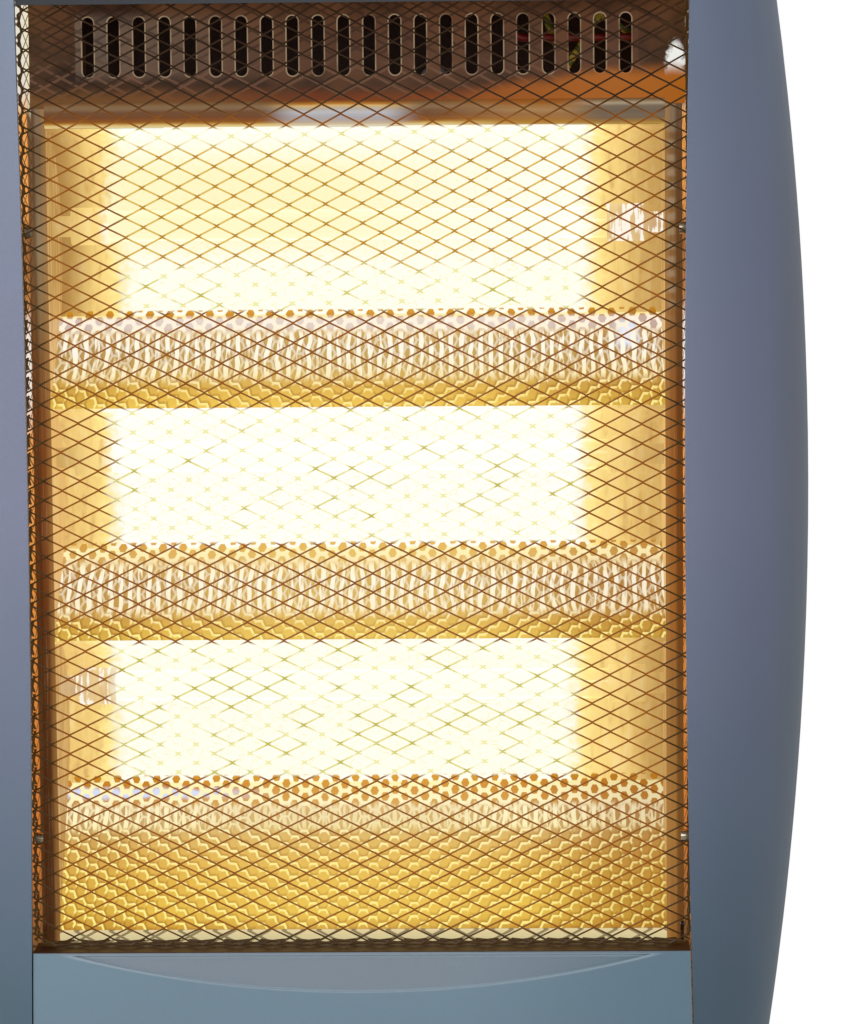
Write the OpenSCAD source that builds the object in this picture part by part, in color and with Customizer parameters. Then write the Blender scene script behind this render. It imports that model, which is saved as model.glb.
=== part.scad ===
// Free-standing halogen heater. A barrel-shaped head with three lamps swings on a round base.
// Millimetres, +Z up, front toward -Y, origin on the floor under the middle of the base.

/* [Base] */
// outer diameter of the base
base_d = 250; // [244:1:256]
// height of the flat crown of the base above the floor
base_h = 36; // [35:0.5:38]
// wall of the moulded shells
wall = 2.5; // [2.2:0.1:2.8]
// radius of the flat crown under the neck
crown_r = 36; // [34:0.5:40]
// height of the rubber feet
foot_h = 4; // [3.5:0.25:5]
// outer diameter of the cast ballast ring
ballast_d = 216; // [206:1:218]

/* [Neck and swing drive] */
// height of the neck between base and head
neck_h = 15; // [14:0.5:18]
// outer radius of the neck
neck_r = 34; // [32:0.5:36]
// outer radius of the pivot tube
post_r = 9; // [8.5:0.1:9.5]
// radial running clearance of the neck on the pivot tube
pivot_fit = 0.05; // [0.03:0.01:0.08]
// reach of the fixed anchor arm, which sets the swing angle together with the crank
anchor_reach = 22; // [21:0.25:23]
// throw of the motor crank
crank_throw = 12.5; // [11.5:0.25:13]
// distance from the anchor pin to the motor shaft, measured along X
shaft_x = 34; // [33:0.25:36]

/* [Head shell] */
// half the width of the head at its widest level
head_half_w = 152.5; // [150:0.5:155]
// height of the head from its flat underside to its flat top
head_h = 422; // [412:1:432]
// radius of the side covers seen from above
cover_r = 64; // [62:0.5:66]
// radius of the barrel curve of the side covers seen from the front
barrel_r = 1290; // [1240:10:1400]
// radius of the outer corners of the side covers seen from the front
corner_r = 40; // [34:1:44]
// width of the opening halfway up
open_w = 216; // [212:1:218]
// height of the lower front panel
skirt_h = 70; // [66:1:74]
// height of the top cover above the opening
top_h = 38; // [36:0.5:40]
// width of the seams between shell mouldings
seam = 0.4; // [0.3:0.05:0.6]
// height of the arc crease below the top edge of the lower panel
crease_drop = 14; // [10:0.5:18]

/* [Heating section] */
// vertical distance between lamps
lamp_pitch = 78; // [76:0.5:79]
// outer radius of the quartz tubes
tube_r = 5; // [4.5:0.1:5.5]
// length of the quartz tubes
tube_len = 176; // [170:1:180]
// thickness of the bright reflector sheet
sheet = 0.6; // [0.5:0.05:0.8]
// inner width of the reflector troughs
trough_w = 204.8; // [202:0.2:206]
// depth of the reflector troughs behind their lips
trough_d = 38; // [35:0.5:40]

/* [Front grille] */
// width of one diamond of the expanded metal
mesh_w = 34; // [32:0.5:36]
// height of one diamond of the expanded metal
mesh_h = 17; // [16:0.5:18]
// width of the strands
strand = 1; // [0.8:0.1:1.4]
// thickness of the grille sheet
mesh_t = 0.8; // [0.6:0.05:1]

/* [Vent plate] */
// number of slots in the vent plate
vent_count = 22; // [20:1:24]
// distance between slots
vent_pitch = 8.6; // [8:0.1:8.6]
// width of one slot
vent_w = 3.9; // [3.4:0.1:4.2]
// height of one slot
vent_len = 20; // [18:0.5:22]

/* [Controls and handle] */
// distance of the selector knob and of the rocker from the middle
control_x = 45; // [40:1:50]
// radius of the knob skirt
knob_r = 19; // [17:0.5:20]
// half the distance between the arms of the carry handle
handle_x = 50; // [46:1:56]
// depth of the finger gap behind the head
finger_gap = 26; // [24:0.5:30]
// radius of the handle bar
handle_r = 6.5; // [6:0.25:7]

/* [Hidden] */
$fn = 96;
fine = 256;
eps = 0.01;
// half the depth of the fields that cut the head, and the length of a cut through anything
field = 90;
through = 200;

// levels
plate_z = foot_h;
plate_t = 2;
inner_z = plate_z + plate_t;
wash_t = 1;
neck_z = base_h + wash_t;
head_bot = neck_z + neck_h;
head_top = head_bot + head_h;
floor_z = head_bot + wall;
open_bot = head_bot + skirt_h;
open_top = head_top - top_h;
open_mid = (open_bot + open_top) / 2;
barrel_z = open_mid - 9;

// shell outlines
edge_r = 18;
foot_edge_r = 12;
front_r = 547;
rear_r = 1945;
sheet_steel = 0.8;
seat = 0.05;
panel_inset = 0.3;
panel_side_gap = 0.4;
rear_bot = head_bot + foot_edge_r + 6;
plate_gap = 0.4;
plate_top = head_top - wall - 1.5;
crown_gap = 0.8;
cover_y = -5;
torus_x = head_half_w - barrel_r;
open_half = open_w / 2;
bow = 2;
louvre_rows = 7;
louvre_pitch = 8;
louvre_w = 3.6;
louvre_len = 60;
louvre_x = 42;
louvre_bank_pitch = 100;
louvre_bank_z = open_bot + 34;
bow_r = (pow((open_top - open_bot) / 2, 2) + bow * bow) / (2 * bow);
low_c = [front_r - 62, open_bot + 35];
top_c = [front_r - 61.5, open_top - 47];
rear_c = [55.9 - rear_r, barrel_z];

function chord(r, d) = sqrt(r * r - d * d);

// centres of the edge roundings, each tangent to the front or rear curve from inside
top_front = [top_c[0] - chord(front_r - edge_r, head_top - edge_r - top_c[1]), head_top - edge_r];
top_rear = [rear_c[0] + chord(rear_r - edge_r, head_top - edge_r - rear_c[1]), head_top - edge_r];
low_front = [
  low_c[0] - chord(front_r - foot_edge_r, low_c[1] - head_bot - foot_edge_r),
  head_bot + foot_edge_r
];
low_rear = [
  rear_c[0] + chord(rear_r - foot_edge_r, rear_c[1] - head_bot - foot_edge_r),
  head_bot + foot_edge_r
];
corner_top = [
  torus_x + chord(barrel_r - corner_r, head_top - corner_r - barrel_z),
  head_top - corner_r
];
corner_low = [
  torus_x + chord(barrel_r - corner_r, barrel_z - head_bot - corner_r),
  head_bot + corner_r
];

// chassis
panel_hole_r = 1.8;
plate_x = open_half + 2.2;
plate_th = 0.8;
plate_bot = corner_low[1] - chord(corner_r - wall, plate_x + plate_th - corner_low[0]) + seat;
trough_x = trough_w / 2;
web_t = 0.8;
flange_y = -44;
post_out = 107;
lamp_y = flange_y + 18;
lamp_z = [for (k = [-1:1]) open_mid + 5.7 - k * lamp_pitch];
lip_gap = 0.8;
lip_rise = 17.6;
bar_top = open_top - 31.8;
bar_h = 8.5;
bar_bot = bar_top - bar_h;
rail_top = open_bot + 3.7;
wing_rise = 28.7;
grille_y = -55.5;
grille_x = plate_x - 0.2;
grille_flange_t = 0.6;
clip_y = flange_y - 3;
clip_r = 2.2;
clip_h = 2.4;
clip_hole_r = 1.3;
clip_seat_x = grille_x - grille_flange_t;
vent_y = -20;
vent_z = open_top - 13.5;
vent_top = open_top + 8;
vent_low = bar_top - 2;
hood_y = -52;
clip_z = [open_mid - 121, open_mid + 82.5];
bus = [post_out - 0.2, -12.7];
post_depth = 50;
tab_w = 12;
tab_t = 1.2;
flange_w = 10;
cover_screw_r = 1.6;
cover_screw_len = (head_half_w - plate_x) / 5;
cover_screw_yz = [
  [25, open_bot - 12],
  [25, open_top - 6],
  [-30, open_bot - 32],
  [-30, open_top + 13]
];
rear_screw_x = 103;
rear_screw_z = [open_bot - 25, open_mid, open_top - 16];

// lamps: solid plug at the tube ends, ceramic caps and their thin necks through the posts
plug = 6;
tube_wall = 0.9;
filament_r = 0.9;
cap_overlap = 4.5;
cap_wall = 1.3;
cap_x0 = tube_len / 2 - cap_overlap;
cap_x1 = trough_x - 6.4;
cap_neck_r = 3.5;
neck_out = 4;
arc_share = 0.57;
wire_r = 1.3;

// swing drive
post_flange_t = 3;
post_flange_r = 22;
post_z = base_h - wall - post_flange_t;
neck_screw_ring = 24;
neck_screw_turns = [22.5:90:292.5];
rib_t = 1.6;
hub_r = 13.5;
hub_top = head_bot + 4;
thrust_t = 0.7;
thrust_gap = 0.05;
clip_t = 1;
clip_bot = hub_top + thrust_gap + thrust_t;
groove_r = post_r - 0.8;
arm_z = clip_bot + clip_t + 0.8;
arm_t = 4;
link_z = arm_z + arm_t + 0.5;
link_t = 2;
pin_r = 2.5;
link_fit = 0.05;
crank_gap = 0.3;
crank_z = link_z + link_t + 2;
crank_t = 2.5;
motor_z = crank_z + 9;
shaft_y = anchor_reach;
crank_pin = [shaft_x, shaft_y - crank_throw];
link_len = norm([shaft_x, crank_throw]);
link_angle = -atan2(crank_throw, shaft_x);
motor_c = [shaft_x + 10, shaft_y - 12];
motor_r = 25;
motor_h = 22;
lid_t = 2;
ear = 8;
ear_y = motor_r + 3;
shaft_r = 3;
ear_screw_r = 1.7;
bracket_t = 1.5;
leg_xy = [[14, -18], [74, -18], [14, 29], [74, 28]];

// base shell
skirt_edge = 12;
base_r = base_d / 2;
skirt_c = [base_r - skirt_edge, skirt_edge + 0.8];
crown_drop = base_h - skirt_c[1];
// radius of the dome, tangent to the flat crown and to the rounded skirt
crown_R = (pow(skirt_c[0] - crown_r, 2) + crown_drop * crown_drop - skirt_edge * skirt_edge)
  / 2 / (crown_drop - skirt_edge);
crown_c = [crown_r, base_h - crown_R];

// base interior
boss_r = 4;
boss_bore = 1.8;
boss_ring = 70;
boss_turns = [45:90:315];
base_screw_r = 1.7;
base_screw_len = 13;
screw_head_r = 3.5;
screw_head_h = 1.6;
foot_ring = 104;
foot_r = 10;
ballast_h = 7;
ballast_in_r = 80;
cord_notch = 14;
guide_r = 6;
guide_foot_t = 1.5;
guide_foot_w = 19;
guide_span = 21;
guide_leg = 2;
plunger_y = 58;
plunger_r = 4;
plunger_fit = 0.05;
guide_top = inner_z + 7;
plunger_flange_z = guide_top + 5;
spring_seat_z = base_h - 8;
gland_z = inner_z + 4.6;
gland_r = 3.85;

// knob and rocker
control_y = -8;
knob_z = head_top + 0.5;
rocker_pivot_z = head_top - 4;

// handle
handle_z = head_top - 27;
pad_y = 50;
bar_y = pad_y + finger_gap + handle_r;
bend_r = 14;

// ---- helpers ----

// extrudes a (y, z) outline along X
module along_x(x0, x1) {
  translate([x0, 0, 0]) rotate([90, 0, 90]) linear_extrude(height = x1 - x0) children();
}

// extrudes an (x, z) outline along Y
module along_y(y0, y1) {
  translate([0, y1, 0]) rotate([90, 0, 0]) linear_extrude(height = y1 - y0) children();
}

module x_rod(x0, x1, y, z, r) {
  translate([x0, y, z]) rotate([0, 90, 0]) cylinder(h = x1 - x0, r = r);
}

module y_rod(y0, y1, x, z, r) {
  translate([x, y1, z]) rotate([90, 0, 0]) cylinder(h = y1 - y0, r = r);
}

module z_ring(z, h, r_out, r_in) {
  translate([0, 0, z]) difference() {
    cylinder(h = h, r = r_out);
    translate([0, 0, -1]) cylinder(h = h + 2, r = r_in);
  }
}

module both_sides() {
  children();
  mirror([1, 0, 0]) children();
}

module disc_2d(c, r, n = $fn) {
  translate(c) circle(r = r, $fn = n);
}

// rectangle with rounded corners between two opposite corner points
module rounded_2d(p, q, r) {
  translate([p[0] + r, p[1]]) square([q[0] - p[0] - 2 * r, q[1] - p[1]]);
  translate([p[0], p[1] + r]) square([q[0] - p[0], q[1] - p[1] - 2 * r]);
  for (x = [p[0] + r, q[0] - r], y = [p[1] + r, q[1] - r]) disc_2d([x, y], r);
}

// upright slot with round ends
module slot_2d(c, w, h) {
  translate([c[0] - w / 2, c[1] - h / 2 + w / 2]) square([w, h - w]);
  for (s = [-1, 1]) disc_2d([c[0], c[1] + s * (h - w) / 2], w / 2);
}

// straight stretches of wire with a round joint at each inner point
module wire(points, r) {
  for (i = [0:len(points) - 2]) {
    d = points[i + 1] - points[i];
    translate(points[i]) rotate([0, acos(d[2] / norm(d)), atan2(d[1], d[0])]) cylinder(h = norm(d), r = r);
  }
  for (i = [1:len(points) - 2]) translate(points[i]) sphere(r = r * 1.06);
}

// wire in the plane at y through (x, z) points joined by square corners, each rounded to a bend
module route(points, y, r) {
  b = 4;
  last = len(points) - 1;
  dirs = [for (i = [0:last - 1]) (points[i + 1] - points[i]) / norm(points[i + 1] - points[i])];
  for (i = [0:last - 1]) {
    u = dirs[i];
    p = points[i] + u * (i == 0 ? 0 : b);
    q = points[i + 1] - u * (i == last - 1 ? 0 : b);
    translate([p[0], y, p[1]]) rotate([0, atan2(u[0], u[1]), 0]) cylinder(h = norm(q - p), r = r);
  }
  for (i = [1:last - 1]) {
    u = dirs[i - 1];
    v = dirs[i];
    c = points[i] + (v - u) * b;
    start = u[0] * v[1] - u[1] * v[0] > 0 ? -v : u;
    translate([c[0], y, c[1]]) rotate([90, 0, 0]) rotate(atan2(start[1], start[0]))
      rotate_extrude(angle = 90) translate([b, 0]) circle(r = r);
  }
}

// ---- outlines of the head shell, inset by o ----

// (y, z) outline with the rounded top and bottom edges; open toward front and rear between them
module side_outline(o) {
  z0 = low_c[1] - (front_r - o) * (low_c[1] - low_front[1]) / (front_r - foot_edge_r);
  z1 = top_c[1] + (front_r - o) * (top_front[1] - top_c[1]) / (front_r - edge_r);
  translate([-field, z0]) square([2 * field, z1 - z0]);
  translate([top_front[0], open_mid]) square([top_rear[0] - top_front[0], head_top - o - open_mid]);
  translate([low_front[0], head_bot + o]) square([low_rear[0] - low_front[0], open_mid - head_bot - o]);
  for (c = [top_front, top_rear]) disc_2d(c, edge_r - o);
  for (c = [low_front, low_rear]) disc_2d(c, foot_edge_r - o);
}

// (y, z) section between the covers, with the front curve centred at c
module section(c, o) {
  intersection() {
    side_outline(o);
    disc_2d(c, front_r - o, fine);
    disc_2d(rear_c, rear_r - o, fine);
  }
}

// (x, z) outline of the right half with the barrel side left to the torus
module front_outline(o) {
  up = (corner_top[1] - barrel_z) / (corner_top[0] - torus_x);
  down = (corner_low[1] - barrel_z) / (corner_low[0] - torus_x);
  far = head_half_w + 40;
  polygon([
    [torus_x, barrel_z],
    [far, barrel_z + up * (far - torus_x)],
    [far, barrel_z + down * (far - torus_x)]
  ]);
  square_x = open_half - 20;
  translate([square_x, barrel_z]) square([corner_top[0] - square_x, head_top - o - barrel_z]);
  translate([square_x, head_bot + o]) square([corner_low[0] - square_x, barrel_z - head_bot - o]);
  disc_2d(corner_top, corner_r - o);
  disc_2d(corner_low, corner_r - o);
}

// barrel-shaped side as part of a torus
module barrel(o) {
  translate([torus_x, 0, barrel_z]) rotate([90, 0, 0]) rotate([0, 0, -13])
    rotate_extrude(angle = 26, $fn = fine) translate([barrel_r - cover_r, -cover_y]) circle(r = cover_r - o);
}

// (x, z) field that rounds the four outer corners of the head and leaves its flat top and underside alone
module head_outline(o) {
  difference() {
    translate([-head_half_w, head_bot - 5]) square([2 * head_half_w, head_h + 10]);
    for (side = [0, 1]) mirror([side, 0]) {
      difference() {
        translate(corner_top) square(2 * corner_r);
        disc_2d(corner_top, corner_r - o);
      }
      difference() {
        translate([corner_low[0], corner_low[1] - 2 * corner_r]) square(2 * corner_r);
        disc_2d(corner_low, corner_r - o);
      }
    }
  }
}

// block between the covers, inset by o, with the front curve centred at c
module shell_block(c, o) {
  intersection() {
    along_x(-head_half_w, head_half_w) section(c, o);
    along_y(-field, field) head_outline(o);
  }
}

module right_form(o) {
  intersection() {
    barrel(o);
    along_y(-field, field) front_outline(o);
    along_x(open_half - 30, head_half_w + 10) side_outline(o);
  }
}

// the long cylinder that bows the inner edge of a side cover
module bow_cylinder(extra) {
  translate([open_half + bow_r, field, open_mid]) rotate([90, 0, 0])
    cylinder(h = 2 * field, r = bow_r + extra, $fn = fine);
}

module between_covers(extra) {
  difference() {
    children();
    both_sides() bow_cylinder(extra);
  }
}

// ---- base ----

// (radius, z) section of the domed base inset by o, from level z0 up
module base_section(o, z0) {
  k = (crown_R + 10) / (crown_R - skirt_edge);
  intersection() {
    translate([0, z0]) square([base_r, base_h]);
    union() {
      intersection() {
        disc_2d(crown_c, crown_R - o, fine);
        polygon([
          crown_c,
          [crown_r, base_h + 10],
          crown_c + (skirt_c - crown_c) * k,
        ]);
      }
      square([crown_r + eps, base_h - o]);
      disc_2d(skirt_c, skirt_edge - o);
      square([base_r - o, skirt_c[1]]);
    }
  }
}

module base_cover() {
  color([0.45, 0.49, 0.57]) {
    difference() {
      rotate_extrude() base_section(0, plate_z);
      rotate_extrude() base_section(wall, plate_z - 1);
      base_cutouts();
    }
    difference() {
      intersection() {
        rotate_extrude() base_section(wall / 2, plate_z);
        for (a = boss_turns) rotate(a) translate([boss_ring, 0, inner_z]) cylinder(h = base_h, r = boss_r);
      }
      for (a = boss_turns) rotate(a) translate([boss_ring, 0, 0])
        cylinder(h = inner_z + base_screw_len + 1, r = boss_bore);
    }
  }
}

module base_cutouts() {
  cylinder(h = through, r = post_r + 0.3);
  y_rod(base_r - skirt_edge, through, 0, gland_z, gland_r + 0.05);
}

module base_plate() {
  color([0.22, 0.22, 0.24]) difference() {
    translate([0, 0, plate_z]) cylinder(h = plate_t, r = base_r - wall - 0.5);
    for (a = boss_turns) rotate(a) translate([boss_ring, 0, 0]) cylinder(h = through, r = base_screw_r + 0.4);
    translate([0, plunger_y, 0]) cylinder(h = through, r = plunger_r + 0.6);
    cylinder(h = through, r = post_r + 3);
  }
}

module ballast_ring() {
  color([0.3, 0.3, 0.31]) difference() {
    z_ring(inner_z, ballast_h, ballast_d / 2, ballast_in_r);
    translate([-cord_notch / 2, 0, 0]) cube([cord_notch, base_r, through]);
  }
}

module rubber_feet() {
  color([0.08, 0.08, 0.08])
    for (a = [0:90:270]) rotate(a) translate([foot_ring, 0, 0]) {
      cylinder(h = foot_h - 1, r1 = foot_r - 2, r2 = foot_r - 1);
      translate([0, 0, foot_h - 1]) cylinder(h = 1, r = foot_r);
    }
}

module base_screws() {
  color([0.6, 0.6, 0.62])
    for (a = boss_turns) rotate(a) translate([boss_ring, 0, plate_z - screw_head_h]) {
      difference() {
        cylinder(h = screw_head_h, r = screw_head_r);
        for (t = [0, 90]) rotate(t) translate([-2, -0.4, -0.2]) cube([4, 0.8, 0.9]);
      }
      cylinder(h = base_screw_len, r = base_screw_r);
    }
}

module pivot_post() {
  color([0.7, 0.7, 0.72]) difference() {
    union() {
      translate([0, 0, post_z]) cylinder(h = post_flange_t, r = post_flange_r);
      translate([0, 0, post_z]) cylinder(h = arm_z + arm_t - post_z, r = post_r);
    }
    cylinder(h = through, r = post_r - 3);
    z_ring(clip_bot, clip_t + 0.05, post_r + 1, groove_r);
    for (a = boss_turns) rotate(a) translate([post_r + 7, 0, 0]) cylinder(h = through, r = boss_bore);
  }
}

module slip_washer() {
  color([0.9, 0.9, 0.86]) z_ring(base_h, wash_t, neck_r - 4, post_r + 0.4);
}

module thrust_washer() {
  color([0.9, 0.9, 0.86]) z_ring(hub_top + thrust_gap, thrust_t, 13, post_r + 0.1);
}

module retaining_clip() {
  color([0.3, 0.3, 0.32]) difference() {
    z_ring(clip_bot, clip_t, 12.5, groove_r + 0.05);
    translate([-14, -3, clip_bot - 1]) cube([14, 6, 4]);
  }
}

module anchor_arm() {
  color([0.6, 0.6, 0.62]) {
    difference() {
      union() {
        z_ring(arm_z, arm_t, 14, post_r + 0.02);
        translate([-5, 10, arm_z]) cube([10, anchor_reach - 10, arm_t]);
        translate([0, anchor_reach, arm_z]) cylinder(h = arm_t, r = 5);
      }
      translate([0, 0, arm_z - 1]) cylinder(h = arm_t + 2, r = post_r + 0.02);
    }
    translate([0, anchor_reach, arm_z + arm_t - eps]) {
      cylinder(h = 0.5, r = 4);
      cylinder(h = link_t + 0.6, r = pin_r);
      translate([0, 0, link_t + 0.6]) cylinder(h = 0.8, r = 4);
    }
  }
}

module cord_gland() {
  color([0.08, 0.08, 0.08]) difference() {
    union() {
      y_rod(base_r - 8, base_r, 0, gland_z, gland_r);
      y_rod(base_r - 8, base_r - wall - 0.4, 0, gland_z, gland_r + 0.65);
    }
    y_rod(0, through, 0, gland_z, gland_r - 1.05);
  }
}

module terminal_block() {
  color([0.85, 0.85, 0.8]) difference() {
    translate([-44, plunger_y - 6, inner_z]) cube([26, 12, 9]);
    for (x = [-40:6:-22]) translate([x, plunger_y, inner_z + 4]) {
      cylinder(h = 10, r = 1.6);
      translate([0, 8, 0]) rotate([90, 0, 0]) cylinder(h = 5, r = 1.4);
    }
  }
}

module plunger_guide() {
  color([0.85, 0.85, 0.8]) difference() {
    union() {
      translate([0, plunger_y, inner_z]) cylinder(h = guide_top - inner_z, r = guide_r);
      translate([-guide_foot_w / 2, plunger_y - guide_r, inner_z]) cube([guide_foot_w, 2 * guide_r, guide_foot_t]);
      for (y = [-guide_span / 2, guide_span / 2 - guide_leg])
        translate([-guide_r / 2, plunger_y + y, inner_z])
          cube([guide_r, guide_leg, spring_seat_z + guide_foot_t - inner_z]);
      for (z = [inner_z, spring_seat_z])
        translate([-guide_r / 2, plunger_y - guide_span / 2, z]) cube([guide_r, guide_span, guide_foot_t]);
    }
    translate([0, plunger_y, 0]) cylinder(h = guide_top + 1, r = plunger_r + plunger_fit);
  }
}

module tip_plunger() {
  color([0.2, 0.2, 0.22]) translate([0, plunger_y, 0]) {
    translate([0, 0, 2]) cylinder(h = plunger_flange_z - 2, r = plunger_r);
    cylinder(h = 2, r1 = plunger_r - 1, r2 = plunger_r);
    translate([0, 0, plunger_flange_z]) cylinder(h = 1.5, r = 7);
    translate([0, 0, plunger_flange_z + 1.5]) cylinder(h = 3, r = 2);
  }
}

module plunger_spring() {
  z0 = plunger_flange_z + 1.5;
  color([0.7, 0.7, 0.72]) translate([0, plunger_y, 0]) z_ring(z0, spring_seat_z - z0, 3.6, 2.9);
}

module tip_switch() {
  color([0.12, 0.12, 0.13]) {
    difference() {
      translate([10, plunger_y - 5, inner_z]) cube([20, 10, 6.5]);
      for (x = [14, 26]) translate([x, plunger_y, inner_z + 4]) cylinder(h = 5, r = 1.2);
    }
    translate([25, plunger_y - 2, inner_z + 6.5 - eps]) cube([2, 4, 1.1]);
    translate([6.4, plunger_y - 2, inner_z + 7.2]) cube([20.6, 4, 0.4]);
  }
}

// ---- neck and swing drive ----

module neck() {
  color([0.45, 0.49, 0.57]) difference() {
    union() {
      z_ring(neck_z + 0.4, neck_h - 0.4, neck_r, neck_r - wall);
      translate([0, 0, head_bot - 3]) cylinder(h = 3, r = neck_r);
      translate([0, 0, neck_z]) cylinder(h = hub_top - neck_z, r = hub_r);
      for (a = [0:45:315]) rotate(a) translate([hub_r - 1, -rib_t / 2, neck_z + 2])
        cube([neck_r - hub_r - 1, rib_t, neck_h - 4]);
    }
    cylinder(h = through, r = post_r + pivot_fit);
    for (a = neck_screw_turns) rotate(a) translate([neck_screw_ring, 0, head_bot - 5])
      cylinder(h = 10, r = 2);
  }
}

module neck_screws() {
  color([0.6, 0.6, 0.62])
    for (a = neck_screw_turns) rotate(a) translate([neck_screw_ring, 0, head_bot - 5]) {
      cylinder(h = 2, r = screw_head_r);
      cylinder(h = arm_z - 1 - head_bot + 5, r = 1.7);
    }
}

module drive_motor() {
  color([0.72, 0.72, 0.74]) {
    translate([motor_c[0], motor_c[1], motor_z]) cylinder(h = motor_h - lid_t, r = motor_r);
    translate([motor_c[0], motor_c[1], motor_z + motor_h - lid_t]) cylinder(h = lid_t, r = motor_r - lid_t);
    difference() {
      for (s = [-1, 1]) translate([motor_c[0] - ear / 2, motor_c[1] + s * (motor_r + 2) - ear / 2, motor_z])
        cube([ear, ear, 1]);
      for (s = [-1, 1])
        translate([motor_c[0], motor_c[1] + s * ear_y, motor_z - 1]) cylinder(h = 3, r = ear_screw_r);
    }
  }
}

module motor_bracket() {
  color([0.66, 0.66, 0.68]) difference() {
    translate([0, 0, motor_z - bracket_t]) linear_extrude(height = bracket_t)
      rounded_2d([8, -24], [80, 42], 5);
    translate([shaft_x, shaft_y, 0]) cylinder(h = through, r = 2 * shaft_r);
    for (p = leg_xy) translate([p[0], p[1], 0]) cylinder(h = through, r = 1.8);
    for (s = [-1, 1]) translate([motor_c[0], motor_c[1] + s * ear_y, 0])
      cylinder(h = through, r = ear_screw_r);
  }
}

module motor_screws() {
  color([0.6, 0.6, 0.62]) {
    for (p = leg_xy) translate([p[0], p[1], motor_z]) {
      cylinder(h = 1.8, r = 3);
      translate([0, 0, -8]) cylinder(h = 8 + eps, r = 1.6);
    }
    for (s = [-1, 1]) translate([motor_c[0], motor_c[1] + s * ear_y, motor_z + 1]) {
      cylinder(h = 1.6, r = 2.8);
      translate([0, 0, -3.5]) cylinder(h = 3.5 + eps, r = 1.5);
    }
  }
}

module crank_arm() {
  color([0.2, 0.2, 0.22]) {
    difference() {
      union() {
        translate([shaft_x, shaft_y, crank_z]) cylinder(h = crank_t + 2, r = 5);
        translate([shaft_x - 3.5, shaft_y - crank_throw, crank_z]) cube([7, crank_throw, crank_t]);
        translate([crank_pin[0], crank_pin[1], crank_z]) cylinder(h = crank_t, r = 3.5);
      }
      translate([shaft_x, shaft_y, crank_z + 1]) cylinder(h = through, r = shaft_r);
    }
    translate([crank_pin[0], crank_pin[1], link_z + link_t + crank_gap])
      cylinder(h = crank_z - link_z - link_t - crank_gap + eps, r = pin_r);
  }
}

module motor_shaft() {
  color([0.75, 0.75, 0.77])
    translate([shaft_x, shaft_y, crank_z + 1]) cylinder(h = motor_z - crank_z - 1.2, r = shaft_r);
}

module drive_link() {
  color([0.85, 0.85, 0.8]) translate([0, anchor_reach, link_z]) rotate(link_angle) difference() {
    union() {
      cylinder(h = link_t, r = 5);
      translate([link_len, 0, 0]) cylinder(h = link_t, r = 5);
      translate([0, -3, 0]) cube([link_len, 6, link_t]);
    }
    translate([0, 0, -1]) cylinder(h = 5, r = pin_r + link_fit);
    translate([link_len, 0, -1]) cylinder(h = 5, r = pin_r + link_fit);
  }
}

// ---- head shell ----

module lower_panel() {
  color([0.42, 0.5, 0.57]) difference() {
    between_covers(seam) {
      difference() {
        intersection() {
          shell_block(low_c, 0);
          translate([-head_half_w, low_front[0] - field, 0]) cube([2 * head_half_w, field, open_bot]);
        }
        shell_block(low_c, wall);
      }
      ledge();
      panel_ribs();
    }
    crease();
  }
}

module ledge() {
  along_x(-open_half - 2.5, open_half + 2.5) intersection() {
    section(low_c, wall / 2);
    translate([-field, open_bot - wall]) square([field + flange_y - 1, wall]);
  }
}

module panel_ribs() {
  for (x = [-80, -27, 27, 80]) along_x(x - rib_t / 2, x + rib_t / 2) intersection() {
    section(low_c, wall / 2);
    translate([-field, head_bot + 8]) square([field - 52, skirt_h - 9]);
  }
}

// shallow crescent pressed into the top of the lower panel
module crease() {
  half = open_half - 7;
  r = (half * half + crease_drop * crease_drop) / (2 * crease_drop);
  intersection() {
    along_y(-field, -field / 3) disc_2d([0, open_bot - crease_drop + r], r, fine);
    along_x(-half, half) difference() {
      translate([-field, open_bot - 2 * crease_drop]) square([2 * field / 3, 2 * crease_drop - 1.2]);
      disc_2d(low_c, front_r - 0.9, fine);
    }
  }
}

module bottom_cover() {
  color([0.3, 0.33, 0.38]) {
    difference() {
      union() {
        between_covers(seam) difference() {
          intersection() {
            shell_block(low_c, 0);
            translate([-head_half_w, low_front[0] + seam, 0]) cube([2 * head_half_w, 2 * field, rear_bot]);
          }
          shell_block(low_c, wall);
        }
        for (p = leg_xy) translate([p[0], p[1], floor_z - 1])
          cylinder(h = motor_z - bracket_t - floor_z + 1, r = 3);
        for (a = neck_screw_turns) rotate(a) translate([neck_screw_ring, 0, floor_z - 1])
          cylinder(h = arm_z - 0.5 - floor_z + 1, r = 3.6);
      }
      translate([0, 0, head_bot - 1]) cylinder(h = 20, r = hub_r + 0.3);
      for (a = neck_screw_turns) rotate(a) translate([neck_screw_ring, 0, head_bot - 1])
        cylinder(h = 9, r = boss_bore);
      for (p = leg_xy) translate([p[0], p[1], motor_z - 12]) cylinder(h = 20, r = 1.7);
    }
  }
}

module right_side_cover() {
  color([0.42, 0.46, 0.54]) {
    difference() {
      intersection() {
        right_form(0);
        bow_cylinder(0);
      }
      right_form(wall);
    }
    difference() {
      intersection() {
        right_form(wall / 2);
        for (p = cover_screw_yz) x_rod(plate_x + plate_th, head_half_w, p[0], p[1], 4);
      }
      for (p = cover_screw_yz)
        x_rod(plate_x, plate_x + cover_screw_len + 1, p[0], p[1], cover_screw_r + 0.2);
    }
  }
}

module left_side_cover() {
  mirror([1, 0, 0]) right_side_cover();
}

module cover_screws() {
  color([0.6, 0.6, 0.62]) both_sides() for (p = cover_screw_yz) {
    x_rod(plate_x - 1.8, plate_x, p[0], p[1], 3);
    x_rod(plate_x - eps, plate_x + cover_screw_len, p[0], p[1], cover_screw_r);
  }
}

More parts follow.
